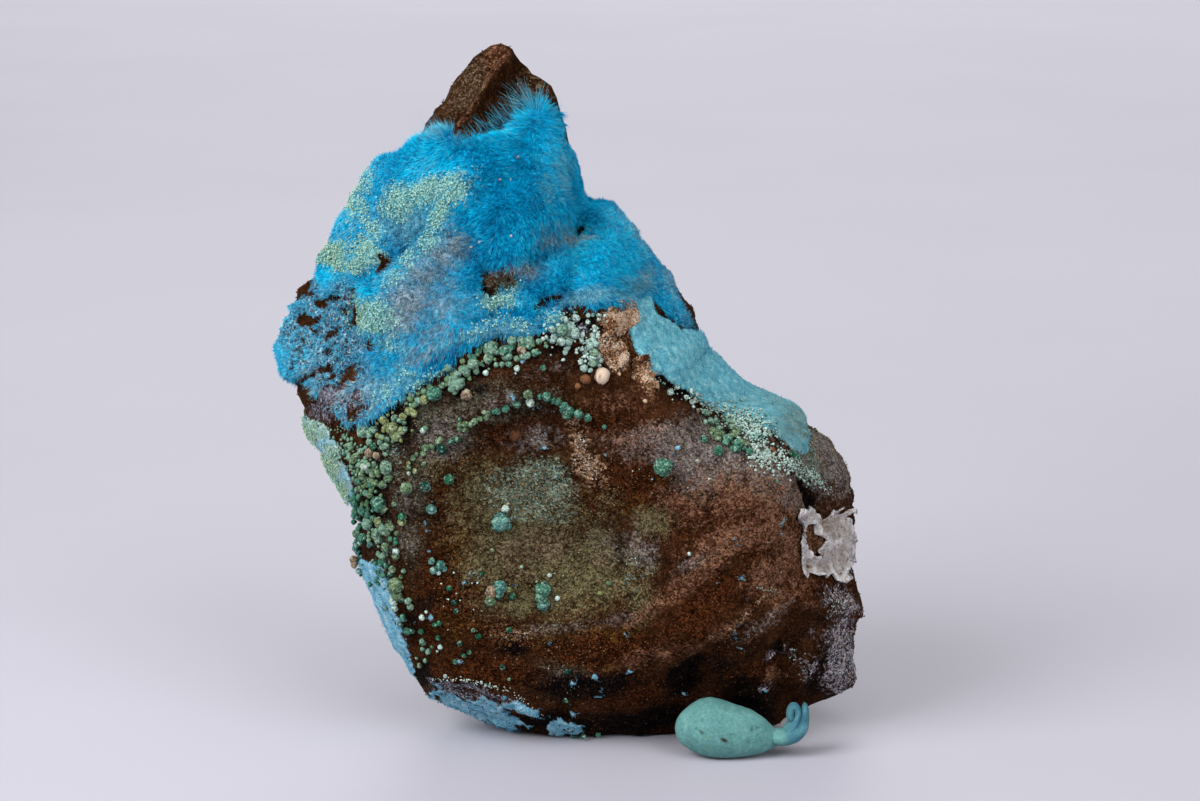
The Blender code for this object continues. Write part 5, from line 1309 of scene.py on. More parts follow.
LEFT = [
    (382, 437, 3, PALE), (387.7, 439.7, 3, PALE), (381, 442.8, 3.2, PALE), (387, 446.3, 3.2, PALE),
    (383.6, 447, 3, PALE), (373.9, 446.3, 3.5, GREEN), (370, 442.8, 3.4, PALE), (361.6, 450.4, 3, PALE),
    (370.8, 453.5, 4.4, TAN), (352.4, 446, 4, PALE), (377, 455.5, 3.4, TAN), (357.6, 456.5, 4, MOSS),
    (351.4, 457.6, 3.5, PALE), (354.5, 461, 4, MOSS), (345.3, 453.5, 2.5, TEAL), (365.7, 466.7, 3.5, FROST),
    (368.8, 470.4, 3, PALE), (387, 466.7, 6, PALE), (376, 467.8, 4, MOSS), (379, 472, 4, MOSS),
    (374, 473.4, 4, MOSS), (363.7, 474.9, 4.5, MOSS), (366.6, 479, 3.5, MOSS), (371.8, 480, 3.5, MOSS),
    (376, 482.4, 4.5, MOSS), (388.7, 478, 4.5, MOSS), (384, 484.6, 4, MOSS), (360.6, 482, 3.5, SEA),
    (362.7, 488, 4, MOSS), (406.5, 488, 5.5, MOSS), (371.8, 494.3, 4.5, MOSS), (367, 492.6, 3.5, SEA),
    (358.6, 490, 3.5, PALE), (356.5, 500, 5, SEA), (362.7, 501.4, 4, SEA), (380, 502.5, 7, SEA),
    (385, 507.6, 4.5, MOSS), (394.3, 503, 2.7, MOSS), (365, 509.6, 5.5, SEA), (369.8, 514, 4, SEA),
    (362.7, 518, 4.5, SEA), (352.4, 515.7, 4, TEAL), (370.8, 523, 6, PALE), (374, 518, 3.5, SEA),
    (381, 521.8, 5, OLIVE), (385, 529, 5, PALE), (391, 527, 4.5, MOSS), (388.7, 531.6, 4, MOSS),
    (402.4, 515, 4, GREEN), (402, 521, 4.4, OLIVE), (396.8, 532.5, 2.5, MOSS), (354.5, 533, 5, SEA),
    (365, 538.5, 5.5, SEA), (378, 534, 5, PALE), (381, 539.4, 4.6, PALE), (356.7, 547.9, 4.5, TEAL),
    (355.4, 553, 3, TEAL), (371, 545, 3, TEAL), (387, 547.3, 4.5, MOSS), (383.3, 555, 4, PALE),
    (396.6, 550, 3.5, FROST), (396, 555, 3.7, MOSS), (355.6, 560, 4.4, TAN), (355.8, 565, 3.6, TAN),
    (387, 564.8, 3, SEA), (383.3, 562, 2.5, SEA), (393, 568.5, 4, MOSS), (403.9, 570.3, 2.5, PALE),
    (390.6, 573, 3, SEA), (397.9, 585.4, 6.6, MOSS), (398.2, 594, 5.2, MOSS), (390.8, 580.6, 3, SEA),
    (394.8, 601, 4.4, FROST), (395.8, 607, 3.6, FROST), (402.7, 600, 3, DARK), (408.8, 600, 3.5, PALE),
    (410.2, 606, 3.5, PALE), (431, 508, 4.7, TEAL), (448.4, 478, 4.6, GREEN), (424.9, 486, 4.6, DARK),
]
LOW = [
    (405, 617, 3.7, SEA), (407.5, 630.3, 3.7, SEA), (411.4, 629.7, 3.2, SEA), (422, 630.3, 3.2, GREEN),
    (422.7, 617, 3, FROST), (426.6, 612, 1.7, FROST), (434.8, 624, 3, GREEN), (440, 622.4, 3, GREEN),
    (423.3, 640.6, 3.8, PALE), (439, 637.5, 2.8, GREEN), (423.3, 648.4, 2.5, PALE),
    (429.4, 650.9, 3.2, PALE), (432.4, 646.6, 1.7, SEA), (441, 646.6, 2.6, FROST),
    (437.8, 650.9, 1.5, FROST), (417.2, 657.6, 2, PALE), (426.3, 660, 2.6, PALE), (420.9, 665.4, 3, MOSS),
    (400, 623, 3, SEA), (445.7, 675.7, 2, FROST), (431.8, 561, 3.5, TEAL), (440.9, 564.8, 4.8, TEAL),
    (433, 569.7, 3.5, TEAL), (443.9, 568, 3, TEAL), (438.6, 572, 2.6, FROST), (449.4, 587.9, 3, GREEN),
    (454.2, 602.4, 2.7, DARK), (456, 610.3, 2.7, DARK), (460.3, 643, 2.8, DARK), (463.9, 655, 2.5, GREEN),
    (469.3, 651.5, 2.5, GREEN), (456, 661, 2.7, GREEN), (478.4, 635, 3, GREEN), (473.6, 629.7, 2, GREEN),
    (508.7, 629.7, 3, GREEN), (503.3, 666.6, 3, DARK), (480.9, 573.3, 2, GREEN), (491.8, 550.3, 2.3, OLIVE),
    (500.4, 520.6, 8.6, TEAL), (496, 524.6, 5, SEA), (505, 524, 5, TEAL), (505, 508, 3.6, FROST),
    (508, 504, 2, TAN), (499.6, 586.4, 7, TEAL), (491.4, 591.4, 6, TAN), (498, 594, 5, SEA),
    (488.7, 601, 5, MOSS), (511.8, 596.3, 3.5, GREEN), (508, 590, 3, OLIVE), (542.8, 590, 7.4, SEA),
    (541, 597, 6, SEA), (543.4, 604, 5.6, TEAL), (557.6, 598.4, 2.6, FROST), (549.6, 575.4, 2.2, FROST),
    (521.6, 567, 1.7, FROST), (609, 583.5, 2.6, MOSS), (600, 593.3, 2.6, OLIVE), (536.4, 581.6, 1.5, OLIVE),
    (567.3, 671.4, 3, DARK), (566, 699, 3, DARK), (689, 554, 2, FROST), (575, 737, 3.2, SEA),
    (584, 738.4, 2.6, SEA), (598, 733.6, 2.8, SEA), (509, 678.6, 1.8, PALE),
]
RIGHT = [
    (668.5, 392.5, 3.6, FROST), (676.7, 386.3, 2.5, FROST), (685.5, 398, 2.5, FROST),
    (690.9, 402.8, 3, FROST), (694, 399.7, 2.2, FROST), (693.2, 407.5, 1.7, FROST), (690.9, 392, 2.8, FROST),
    (695.6, 394.4, 2.5, FROST), (701, 395.4, 1.5, FROST), (697, 411.4, 2.2, TAN), (704.2, 414.2, 4.3, PALE),
    (704.3, 423, 2.7, PALE), (709.6, 422.2, 4, PALE), (715, 421, 3.2, PALE), (716.3, 425, 2, PALE),
    (713, 434.3, 5, MOSS), (717, 437, 5, MOSS), (719, 430.3, 3.5, PALE), (722, 435, 3.3, MOSS),
    (711, 431.6, 3, MOSS), (717.7, 440, 3.5, MOSS), (703, 440.3, 4.2, SEA), (724.4, 420.9, 2.5, PALE),
    (727.7, 422.9, 3, PALE), (725.7, 425.4, 2.5, PALE), (731, 421.6, 2.5, PALE), (733.7, 423.6, 2.7, PALE),
    (732.4, 428.9, 4, MOSS), (733.7, 434.3, 4.5, MOSS), (731, 437.6, 3.5, MOSS), (736.8, 431.6, 3, MOSS),
    (727.7, 441.4, 5, SEA), (725.5, 444, 3.5, SEA), (717.7, 451, 4.6, SEA), (736.4, 446.3, 5, SEA),
    (739.4, 443.4, 4, MOSS), (735, 450, 4.5, SEA), (745, 445, 3.7, MOSS), (743, 449.4, 3, SEA),
    (748.5, 453, 4.2, SEA), (739, 439, 2, PALE), (739, 428.9, 2.3, PALE), (664, 465, 8.4, SEA),
    (660.6, 467, 5, SEA), (668, 462.6, 5, SEA), (751, 458.4, 1.8, FROST), (756.5, 461.4, 1.6, FROST),
    (760.5, 466.4, 1.6, FROST), (767.2, 469.8, 1.6, FROST), (772.6, 471.8, 1.9, FROST),
    (779, 469.8, 1.5, FROST), (787.3, 473.8, 1.9, FROST), (791.4, 471, 1.6, FROST),
    (795.4, 473.6, 1.8, FROST), (799.4, 477.4, 1.9, FROST), (803, 480.6, 1.7, FROST),
    (807.4, 483.8, 1.6, FROST), (776.6, 481.2, 1.8, MOSS), (790, 480.5, 1.1, FROST), (777, 476, 1.2, FROST),
    (764, 473, 1.2, FROST), (792.7, 454.6, 3.2, GREEN), (796, 456, 2.6, GREEN), (789.6, 453.4, 2.4, GREEN),
    (697, 461, 2.2, FROST), (709, 479, 1.2, FROST),
]

# Clusters: x, y, half width, half height, turn in degrees, how many, smallest and largest radius, hue.
CLUSTERS = [
    (362, 462, 12, 16, 20, 34, 1.6, 3.2, PALE), (368, 486, 12, 20, 14, 30, 1.6, 3.2, MOSS),
    (362, 512, 9, 20, 6, 26, 2.0, 3.6, SEA), (376, 530, 12, 20, 24, 26, 1.8, 3.2, PALE),
    (358, 545, 6, 16, 0, 22, 1.8, 3.0, TEAL), (384, 562, 6, 22, 24, 22, 1.6, 2.8, SEA),
    (396, 590, 6, 18, 14, 14, 1.6, 2.8, MOSS), (392, 428, 18, 14, -20, 26, 1.6, 3.2, OLIVE),
    (350, 446, 12, 10, 40, 24, 1.2, 2.4, PALE), (425, 395, 20, 8, -30, 16, 2.0, 3.6, MOSS),
    (460, 376, 16, 8, -30, 20, 1.8, 3.4, MOSS), (506, 352, 34, 9, -10, 34, 1.4, 2.8, MOSS),
    (566, 332, 14, 14, 20, 110, 0.9, 2.0, MINTY), (592, 350, 8, 16, 10, 90, 0.9, 2.0, MINTY),
    (588, 338, 14, 5, 0, 24, 0.9, 1.6, FROST), (745, 422, 24, 12, 24, 330, 0.9, 1.7, MINTY),
    (757, 434, 12, 13, 0, 150, 0.9, 1.7, MINTY), (722, 414, 20, 5, 18, 60, 0.8, 1.4, FROST),
    (763, 457, 12, 8, 20, 230, 1.0, 1.7, FROST), (790, 462, 20, 6, 30, 220, 0.8, 1.5, FROST),
    (814, 478, 16, 4, 42, 110, 0.7, 1.2, FROST), (340, 432, 14, 10, 30, 30, 0.9, 1.8, PALE),
    (352, 452, 8, 14, 0, 30, 1.0, 2.0, PALE), (354, 530, 5, 34, -4, 40, 1.4, 2.6, SEA),
    (790, 470, 36, 4, 34, 40, 0.6, 1.1, FROST), (448, 600, 40, 40, 0, 12, 0.7, 1.3, FROST),
    (640, 440, 60, 30, 0, 12, 0.6, 1.0, TAN), (458, 680, 22, 1.6, 2, 46, 0.5, 1.1, 0.90),
    (488, 685, 20, 1.8, 16, 46, 0.5, 1.1, 0.90), (520, 698, 18, 1.8, 34, 24, 0.5, 0.9, 0.90),
    (690, 396, 16, 6, 20, 16, 0.7, 1.3, FROST), (704, 404, 26, 3, 20, 50, 0.6, 1.3, MINTY),
    (660, 381, 12, 2, 38, 20, 0.6, 1.1, MINTY), (745, 414, 18, 4, 12, 60, 0.6, 1.3, MINTY),
    (836, 606, 12, 12, 0, 60, 0.4, 0.9, 0.90), (840, 655, 8, 28, 0, 90, 0.4, 0.9, 0.90),
    (796, 654, 8, 7, 0, 16, 0.4, 0.9, 0.90), (806, 672, 12, 12, 0, 24, 0.4, 0.8, 0.90),
    (768, 590, 9, 1.2, 14, 26, 0.5, 1.1, TAN), (776, 593, 4, 3, 0, 10, 0.6, 1.2, TAN),
    (738, 626, 36, 1.4, -50, 30, 0.4, 0.8, TAN), (548, 575, 14, 8, 0, 8, 0.5, 1.0, 0.92),
    (630, 560, 14, 6, 0, 10, 0.5, 1.0, 0.92),
]
LARGE, TINY = 4.6, 1.5  # radii in pixels: from LARGE on a ball has a finer mesh, below TINY a coarser one
STRAYS = 70  # balls on the back
KEPT_NODES = {  # the CAD spherules that each piece of balls stands for
    "beads": ["spherule_chain"],
    "spherules_large": [
        "spherule_basin", "spherule_lower_left", "spherule_lower_right", "spherule_flank",
        "spherule_small_basin", "spherule_disc", "spherule_right_upper", "spherule_right_lower",
    ],
    "spherules_tiny": ["mint_tail"],
}


def placed_balls(name, places, finish, columns, rows, nubs, seed, sink, tints=None):
    """Balls set on the rock: each middle stands a part of its radius, sink, above the skin."""
    table = np.array(places, float)
    points, normals = on_rock(table[:, :2])
    radius = table[:, 2] * PIXEL
    rng = np.random.default_rng(seed)
    axes = unit(normals + rng.normal(0, 0.15, normals.shape) + [0, 0, 0.3])
    radii = radius[:, None] * rng.uniform(0.9, 1.12, (len(table), 3)) * [1, 1, 0.92]
    hues = table[:, 3] + rng.normal(0, 0.015, len(table))
    middles = points + normals * (radius * sink)[:, None]
    return many_balls(name, middles, axes, radii, hues, finish, columns, rows, nubs=nubs, seed=seed,
                      mottle=0.3, tints=tints)


def clustered():
    """Places of the balls in the clusters: bell-shaped scatter, with radii at random."""
    rng = np.random.default_rng(77)
    places = []
    for x, y, wide, high, turn, count, small, large, hue in CLUSTERS:
        c, s = math.cos(math.radians(turn)), math.sin(math.radians(turn))
        spot = rng.normal(0, 0.62, (count, 2)) * [wide, high]
        across, along = spot[:, 0] * c - spot[:, 1] * s, spot[:, 0] * s + spot[:, 1] * c
        radius = small + (large - small) * rng.random(count) ** 1.5
        hues = hue + rng.normal(0, 0.035, count)
        places.append(np.column_stack([x + across, y + along, radius, np.clip(hues, 0.01, 0.99)]))
    return np.concatenate(places)


def spherules():
    """The string of beads, the listed balls, the clusters, and a few stray balls on the back."""
    palette, granular = palette_finish("green_spherules", BALL_STOPS, 0.85, 0.08), granular_finish()
    by_hand = np.array(BORDER + LEFT + LOW + RIGHT, float)
    large = by_hand[:, 2] >= LARGE
    scattered = clustered()
    tiny = scattered[:, 2] < TINY
    for seed, (name, places, columns, rows, nubs, sink) in enumerate((
        ("beads", BEADS, 16, 9, 0.36, 0.45),
        ("spherules_large", by_hand[large], 24, 13, 0.4, 0.45),
        ("spherules_small", by_hand[~large], 10, 5, 0.3, 0.45),
        ("spherules_scattered", scattered[~tiny], 8, 4, 0.0, 0.6),
        ("spherules_tiny", scattered[tiny], 6, 2, 0.0, 0.6),
    )):
        finish, tints = (granular, BALL_STOPS) if nubs else (palette, None)
        piece = placed_balls(name, places, finish, columns, rows, nubs, 30 + seed, sink, tints)
        if name in KEPT_NODES:
            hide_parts(*KEPT_NODES[name])
    rng = np.random.default_rng(41)
    weight = ZONE["back"] * np.exp(-(((SKIN[..., 2] - 20) / 6) ** 2))
    points, normals = skin_at(*spread_over(weight, STRAYS, rng))
    radii = rng.uniform(0.12, 0.32, (STRAYS, 1)) * rng.uniform(0.9, 1.1, (STRAYS, 3))
    hues = rng.uniform(0.1, 0.6, STRAYS)
    piece = many_balls("spherules_back", points + 0.1 * normals, normals, radii, hues, granular, 14, 7,
                       nubs=0.3, seed=42, mottle=0.3, tints=BALL_STOPS)


# ---------------------------------------------------------------- grains

# Palettes of grains, granules and crumbs: the deep tone at the inner pole and the light at the outer, as
# painted shade and light.
GRAIN_STOPS = [
    (0.02, (14, 7, 3), (40, 22, 11)), (0.20, (40, 19, 5), (78, 44, 18)), (0.38, (60, 38, 20), (108, 76, 46)),
    (0.55, (48, 44, 24), (124, 116, 78)), (0.70, (60, 52, 44), (132, 120, 106)),
    (0.85, (96, 80, 66), (172, 156, 138)), (0.98, (104, 98, 106), (204, 200, 210)),
]
GRANULE_STOPS = [
    (0.02, (74, 144, 158), (130, 194, 206)), (0.40, (92, 156, 160), (158, 208, 204)),
    (0.70, (98, 150, 146), (166, 206, 196)), (0.98, (96, 134, 104), (160, 184, 142)),
]
OCHRE_STOPS = [
    (0.02, (34, 18, 10), (70, 42, 24)), (0.25, (76, 44, 24), (138, 96, 64)),
    (0.50, (108, 78, 58), (180, 148, 120)), (0.75, (128, 104, 88), (196, 174, 154)),
    (0.98, (134, 118, 102), (192, 176, 158)),
]
PEBBLES = [  # x, y and radius in pixels, and hue
    (600, 376.6, 8.0, 0.84), (585, 379.5, 5.2, 0.14), (578, 386, 2.8, 0.14), (514.8, 434.8, 6, 0.03),
    (518, 158, 1.8, 0.7), (500, 180, 1.5, 0.95), (511, 180, 1.3, 0.95), (480, 242, 1.6, 0.95),
    (472, 247, 1.4, 0.95), (511, 236, 1.2, 0.95), (772, 450, 2.6, 0.15), (645, 401, 2.2, 0.6),
    (604, 372, 2.0, 0.7), (619, 374, 1.8, 0.6),
]
GRAIN_TONES = {  # where the grains on each stain lie on their palette
    "rust": 0.26, "olive": 0.50, "sea": 0.60, "grey": 0.64, "slate": 0.60, "amber": 0.40, "trail": 0.80,
    "silver": 0.96, "ochre": 0.40, "clay": 0.46,
}


def grains():
    """Fine crystals that stand out of the bare rock, and the mint-green granules in the velvet."""
    rng = np.random.default_rng(5)
    front = slice(0, FRONT_ROWS)
    covered = np.clip(ZONE["velvet"] + ZONE["band"] + ZONE["strip"], 0, 1)
    stained = 0.3 + ZONE["olive"] + ZONE["sea"] + ZONE["trail"] + 0.6 * ZONE["grey"] + ZONE["silver"]
    bare = step_up(110, 180, PIXELS[..., 1]) * (1 - covered) * (1 - 0.8 * ZONE["dark"]) * stained
    coarse = spots(PIXELS, COARSE)
    bare = bare * (1 + 1.5 * coarse) + 0.8 * spots(PIXELS, [TIP_FACE])
    a, r = spread_over(bare, 15000, rng, front)
    hue = np.full(len(a), 0.16)
    for name, tone in GRAIN_TONES.items():
        hue = np.where(read_table(ZONE[name], a, r) > rng.uniform(0.25, 0.75, len(a)), tone, hue)
    hue = np.clip(hue + rng.normal(0, 0.08, len(a)), 0.01, 0.93)
    points, normals = skin_at(a, r)
    radii = 0.032 + 0.05 * rng.random((len(a), 1)) ** 3 * rng.uniform(0.7, 1.3, (len(a), 3))
    radii *= 1 + 0.9 * read_table(coarse, a, r)[:, None] * rng.random((len(a), 1))
    axes = unit(normals + rng.normal(0, 0.6, normals.shape))
    finish = palette_finish("crystal_grains", GRAIN_STOPS, 0.7, 0.12)
    piece = many_balls("grains", points + 0.02 * normals, axes, radii, hue, finish, 4, 1, 0.3, seed=6,
                       smooth=False, mottle=0.3)
    weight = step_up(0.15, 0.9, ZONE["mint"]) * np.clip(ZONE["velvet"] + ZONE["strip"], 0, 1)
    a, r = spread_over(weight, 8500, rng, front)
    points, normals = skin_at(a, r)
    radii = 0.028 + 0.065 * rng.random((len(a), 1)) ** 2 * rng.uniform(0.8, 1.2, (len(a), 3))
    hue = 0.50 + 0.3 * cloud(points, 1.2, 421, 3) + 0.35 * step_up(385, 355, read_table(PIXELS, a, r)[:, 0])
    hue = np.clip(hue + rng.normal(0.0, 0.12, len(a)), 0.01, 0.99)
    middles = points + rng.uniform(0.05, 0.24, (len(a), 1)) * normals
    finish = palette_finish("mint_granules", GRANULE_STOPS, 0.8, 0.1)
    piece = many_balls("granules", middles, normals, radii, hue, finish, 5, 1, 0.15, seed=7, mottle=0.25)


def ochre_crust():
    """Crumbly ochre: long grains, leaning every way, over a low mound, and listed loose pebbles."""
    rng = np.random.default_rng(15)
    finish = palette_finish("ochre_crumbs", OCHRE_STOPS, 0.8, 0.12, relief=(0.12, 0.03))
    gaps = step_up(-0.45, 0.1, cloud(SKIN, 1.1, 403, 3))
    a, r = spread_over(ZONE["crumbs"] * gaps, 3000, rng, slice(0, FRONT_ROWS))
    points, normals = skin_at(a, r)
    lumps = cloud(points, 0.8, 401, 3)
    radii = 0.045 + 0.09 * rng.random((len(a), 3)) ** 2
    radii[:, 2] *= rng.uniform(0.8, 1.7, len(a))
    axes = unit(0.7 * normals + rng.normal(0, 0.7, normals.shape))
    hue = 0.32 + 0.3 * step_up(640, 630, read_table(PIXELS, a, r)[:, 0]) + 1.1 * lumps
    hue = np.clip(hue + rng.normal(0, 0.2, len(a)), 0.01, 0.99)
    piece = many_balls("ochre_crumbs", points + 0.08 * normals, axes, radii, hue, finish, 6, 1, 0.3, seed=16)
    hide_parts("ochre_crust_upper", "ochre_crust_lower")
    piece = placed_balls("pebbles", PEBBLES, finish, 14, 7, 0.2, 17, sink=0.3)
    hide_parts("pebble_tan")


# ---------------------------------------------------------------- glue and putty

# The glue sheet's outline and the hole torn in it, both clockwise from the upper left.
GLUE = [
    (794, 510), (802, 510), (809, 512.5), (813, 517), (819, 521), (822, 520), (827, 518), (830, 515.5),
    (828, 512.5), (835.5, 509), (837.5, 511), (833.5, 516), (840, 512.5), (846, 510), (849, 511), (846, 514),
    (841.5, 519), (848, 519), (851.5, 532), (852, 545), (850, 556), (851, 561), (845, 568), (842, 575),
    (845, 580), (840, 583), (833, 580), (834.5, 575.5), (829, 575), (826.5, 578.5), (819.5, 576.5),
    (807, 572), (803.5, 578.5), (800, 573.5), (799.5, 563), (797.5, 555), (799, 540), (801.5, 535.5),
    (802, 524.5), (799.5, 520.5), (793.5, 515),
]
HOLE = [
    (804.5, 525), (811.5, 525), (812.5, 534), (818, 536), (823, 538), (821, 546), (816, 549), (818, 557),
    (811, 556), (808, 551), (804, 546), (803.5, 536),
]
HOLE_MIDDLE = (811, 541)
CRUMPLED = [(814, 520, 18, 10), (804, 560, 8, 18, 0.9), (828, 575, 22, 7, 0.8), (820, 545, 9, 12, 0.6)]
HORNS = [(796, 512, 6, 4, 0.45), (834, 510, 5, 3, 0.6), (847, 511, 5, 3, 0.5), (845, 580, 6, 5, 0.3)]
GLUE_RINGS, GLUE_COLUMNS, GLUE_THICKNESS = 16, 220, 0.14


# What the glue's tones follow and between which values, and then dark, middle and light tone. The raised
# layers are painted shade where the sheet is sunk and painted light where it is raised.
GLUE_LAYERS = [
    ("raised", 0.5, 0.2, (92, 76, 64), (128, 114, 104), (156, 146, 138)),
    ("raised", 0.56, 0.86, (176, 172, 172), (206, 204, 206), (226, 224, 228)),
    ("streaks", 0.5, 0.62, (112, 98, 88), (150, 140, 134), (186, 182, 180)),
]


def paper_finish():
    """Old dried glue: streaked grey, with painted shade where it is sunk and painted light where it is
    raised.
    """
    f = Finish("old_glue")
    cloudy, fine = f.noise(1.2, 5, 0.7, 0.6), f.noise(0.22, 4, 0.7)
    streaks = f.noise(0.5, 5, 0.6, 2.0)
    raised, _, _ = f.zones("relief")
    tone = f.tones(cloudy, (116, 110, 106), (166, 162, 162), (202, 200, 202))
    for grain, low, high, *tones in GLUE_LAYERS:
        along = raised if grain == "raised" else streaks
        tone = f.mix(tone, f.tones(fine, *tones), f.between(along, low, high))
    flecks = f.times(f.between(f.noise(0.3, 3), 0.60, 0.66), 0.85)
    tone = f.mix(tone, rgb(92, 70, 54), flecks)
    return f.done(Base_Color=tone, Roughness=0.85, Specular_IOR_Level=0.15, Normal=f.bump(streaks, 0.12))


def evenly(points, count, closed=False):
    """Places at equal distances along a line of straight sides, and their distances from its start."""
    steps = np.concatenate([[0], np.cumsum(np.linalg.norm(np.diff(points[:, :2], axis=0), axis=1))])
    even = steps[-1] * np.arange(count) / (count if closed else count - 1)
    return np.stack([np.interp(even, steps, column) for column in points.T], axis=-1), even


def glue():
    """A torn, wrinkled sheet laid over the rock: rings from its hole out to its edge, above and then below.

    A place lies on the rock, a share of the way along a straight line from the hole to the edge. It is
    smoothed over its neighbours and lifted by wrinkles, raised rims and the horns that have peeled off.
    """
    outer, along = evenly(np.array(GLUE + GLUE[:1], float), GLUE_COLUMNS, closed=True)
    line = along[:, None] * [1.0, 0.0, 0.0]
    outer += 0.5 * np.stack([cloud(line, 3.0, seed, 3, 0.7) for seed in (3, 4)], axis=-1)
    tear = np.array(HOLE, float) - HOLE_MIDDLE
    bearing, distance = np.arctan2(tear[:, 1], tear[:, 0]), np.hypot(tear[:, 0], tear[:, 1])
    order = np.argsort(bearing)
    turn = np.arctan2(outer[:, 1] - HOLE_MIDDLE[1], outer[:, 0] - HOLE_MIDDLE[0])
    reach = np.interp(turn, bearing[order], distance[order], period=2 * math.pi)
    inner = HOLE_MIDDLE + reach[:, None] * np.column_stack([np.cos(turn), np.sin(turn)])
    share = np.linspace(0, 1, GLUE_RINGS)[:, None, None]
    places = inner * (1 - share) + outer * share
    points, normals = on_rock(places.reshape(-1, 2))
    points, normals = points.reshape(*places.shape[:2], 3), normals.reshape(*places.shape[:2], 3)
    for _ in range(4):
        for table in (points, normals):
            aside = np.roll(table[1:-1], 1, axis=1) + np.roll(table[1:-1], -1, axis=1)
            table[1:-1] = (table[:-2] + table[2:] + aside) / 4
    normals = unit(normals)
    crumpled = spots(places, CRUMPLED)
    rim = np.exp(-((1 - share[..., 0]) * 9)) + np.exp(-share[..., 0] * 9)
    lift = 0.24 + (0.10 + 0.30 * crumpled) * crags(points, 1.2, 41, 3) + 0.05 * cloud(points, 0.5, 43, 2)
    lift += 0.12 * rim * (1 + cloud(points, 1.0, 47, 2))
    lift += spots(places, HORNS)
    top = points + normals * lift[..., None]
    below = points + normals * (lift[..., None] - GLUE_THICKNESS)
    rings = np.concatenate([top, below[::-1]])
    faces = grid_faces(len(rings), GLUE_COLUMNS, loop=True)[:, ::-1]
    height = np.clip(0.42 + 0.9 * (lift - lift.mean()) + 0.4 * rim, 0, 1)
    height = np.concatenate([height, height[::-1]]).ravel()
    piece = mesh_object("glue_sheet", rings.reshape(-1, 3), faces, paper_finish(),
                        attributes={"relief": np.column_stack([height] * 3)})
    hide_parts("adhesive_patch")


# The wad of putty in camera pixels: x of each station, its upper and its lower edge.
WAD = [
    (674.3, 727, 729), (675.2, 721, 735), (677.5, 717, 739), (682, 711.5, 744), (692, 704.5, 750.5),
    (700, 700, 754), (710, 698, 756.5), (722, 700.3, 757.6), (735, 705, 757.8), (752, 711, 755.3),
    (762, 717, 752.5), (770, 724, 749), (776, 729.5, 746), (781, 733, 743), (785, 735, 741), (787, 737, 739),
]
WAD_DEPTH = -5.65  # y of the wad's middle in mm
WAD_MIDDLE = np.array([11.5, WAD_DEPTH, 1.9])
PRESSED = 0.3  # what lies lower than this, in mm, is pressed together above the table
STRAND_RINGS = 60
STRANDS = [  # the curl: x, y of each strand's line, and its half width in mm
    [(770, 736, 0.60), (783, 737, 0.60), (794, 733, 0.66), (801, 727, 0.56), (804.6, 718, 0.34),
     (805.4, 709, 0.28), (804.6, 703, 0.26)],
    [(784, 734, 0.45), (791, 728, 0.52), (796, 722, 0.42), (798.2, 715, 0.30), (797, 708.5, 0.28),
     (794.2, 705, 0.26), (790.8, 708, 0.28), (790.2, 715, 0.32), (792, 721, 0.36)],
]
# Dents and specks of the wad, as spots: pressed in, and painted dark, partly as painted shade in the dents.
PITS = [
    (724, 740.6, 4.5, 2, 1, -28), (701, 732.2, 3, 1.4, 0.9, -30), (696, 728, 2, 2, 0.5),
    (702, 720, 2.5, 3, 0.45), (725.5, 709.2, 2.5, 1.8, 0.45), (752, 729.4, 2, 4, 0.6),
    (758, 727.5, 2.4, 2, 0.5), (766, 731, 1.6, 1.4, 0.5), (749, 743, 2, 1.5, 0.55),
    (761, 741, 1.5, 1.5, 0.5), (737, 721, 2, 2, 0.3), (727, 719.5, 2, 1.5, 0.3), (733, 743.5, 1.6, 1.6, 0.4),
    (686, 721, 1.4, 1.4, 0.4), (735, 752.7, 3, 1, 0.4), (781, 734, 2, 2, 0.4),
]


def putty_finish():
    """Teal putty, mottled and specked; the curl is darker and bluer as painted shade, and the pits are dark,
    partly painted shade.
    """
    f = Finish("putty")
    cloudy, fine = f.noise(1.6, 5, 0.7, 0.8), f.noise(0.2, 4, 0.7)
    shaded_pit, blue, _ = f.zones("marks")
    tone = f.tones(cloudy, (68, 116, 116), (84, 134, 132), (100, 150, 147))
    tone = f.mix(tone, f.tones(fine, (64, 108, 110), (88, 138, 136), (110, 156, 152)), 0.45)
    # Painted shade: the curl darker and bluer.
    tone = f.mix(tone, f.tones(cloudy, (42, 88, 102), (62, 112, 128), (88, 138, 150)), blue)
    distance, seed = f.cells(0.8)
    speck = f.times(f.between(distance, 0.26, 0.14), f.between(seed[0], 0.62, 0.72))
    tone = f.mix(tone, f.tones(fine, (70, 92, 60), (92, 122, 88), (110, 140, 110)), f.times(speck, 0.55))
    # Dark pits: partly painted shade in the dents.
    tone = f.mix(tone, rgb(44, 50, 34), f.between(shaded_pit, 0.1, 0.85))
    normal = f.bump(f.noise(0.34, 5, 0.65, 0.5), 0.08)
    return f.done(Base_Color=tone, Roughness=0.75, Specular_IOR_Level=0.2, Normal=normal)


def swept(path, across, wide, deep, columns):
    """Rings round a path: half width along across, and half depth along the upright plane's normal, y."""
    turn = 2 * math.pi * np.arange(columns) / columns
    rings = path[:, None] + across[:, None] * (wide[:, None] * np.cos(turn))[..., None]
    return rings + np.array([0.0, 1.0, 0.0]) * (deep[:, None] * np.sin(turn))[..., None]


def smoothed(table, times):
    """A line of places, each pulled again and again towards the middle of its neighbours; the ends stay."""
    for _ in range(times):
        table[1:-1] = (table[:-2] + 2 * table[1:-1] + table[2:]) / 4
    return table


def at_depth(places, depth):
    """Where the camera sees pixels in the upright plane y = depth."""
    sight = sight_lines(np.asarray(places, float))
    return EYE + sight * ((depth - EYE[1]) / sight[..., 1])[..., None]


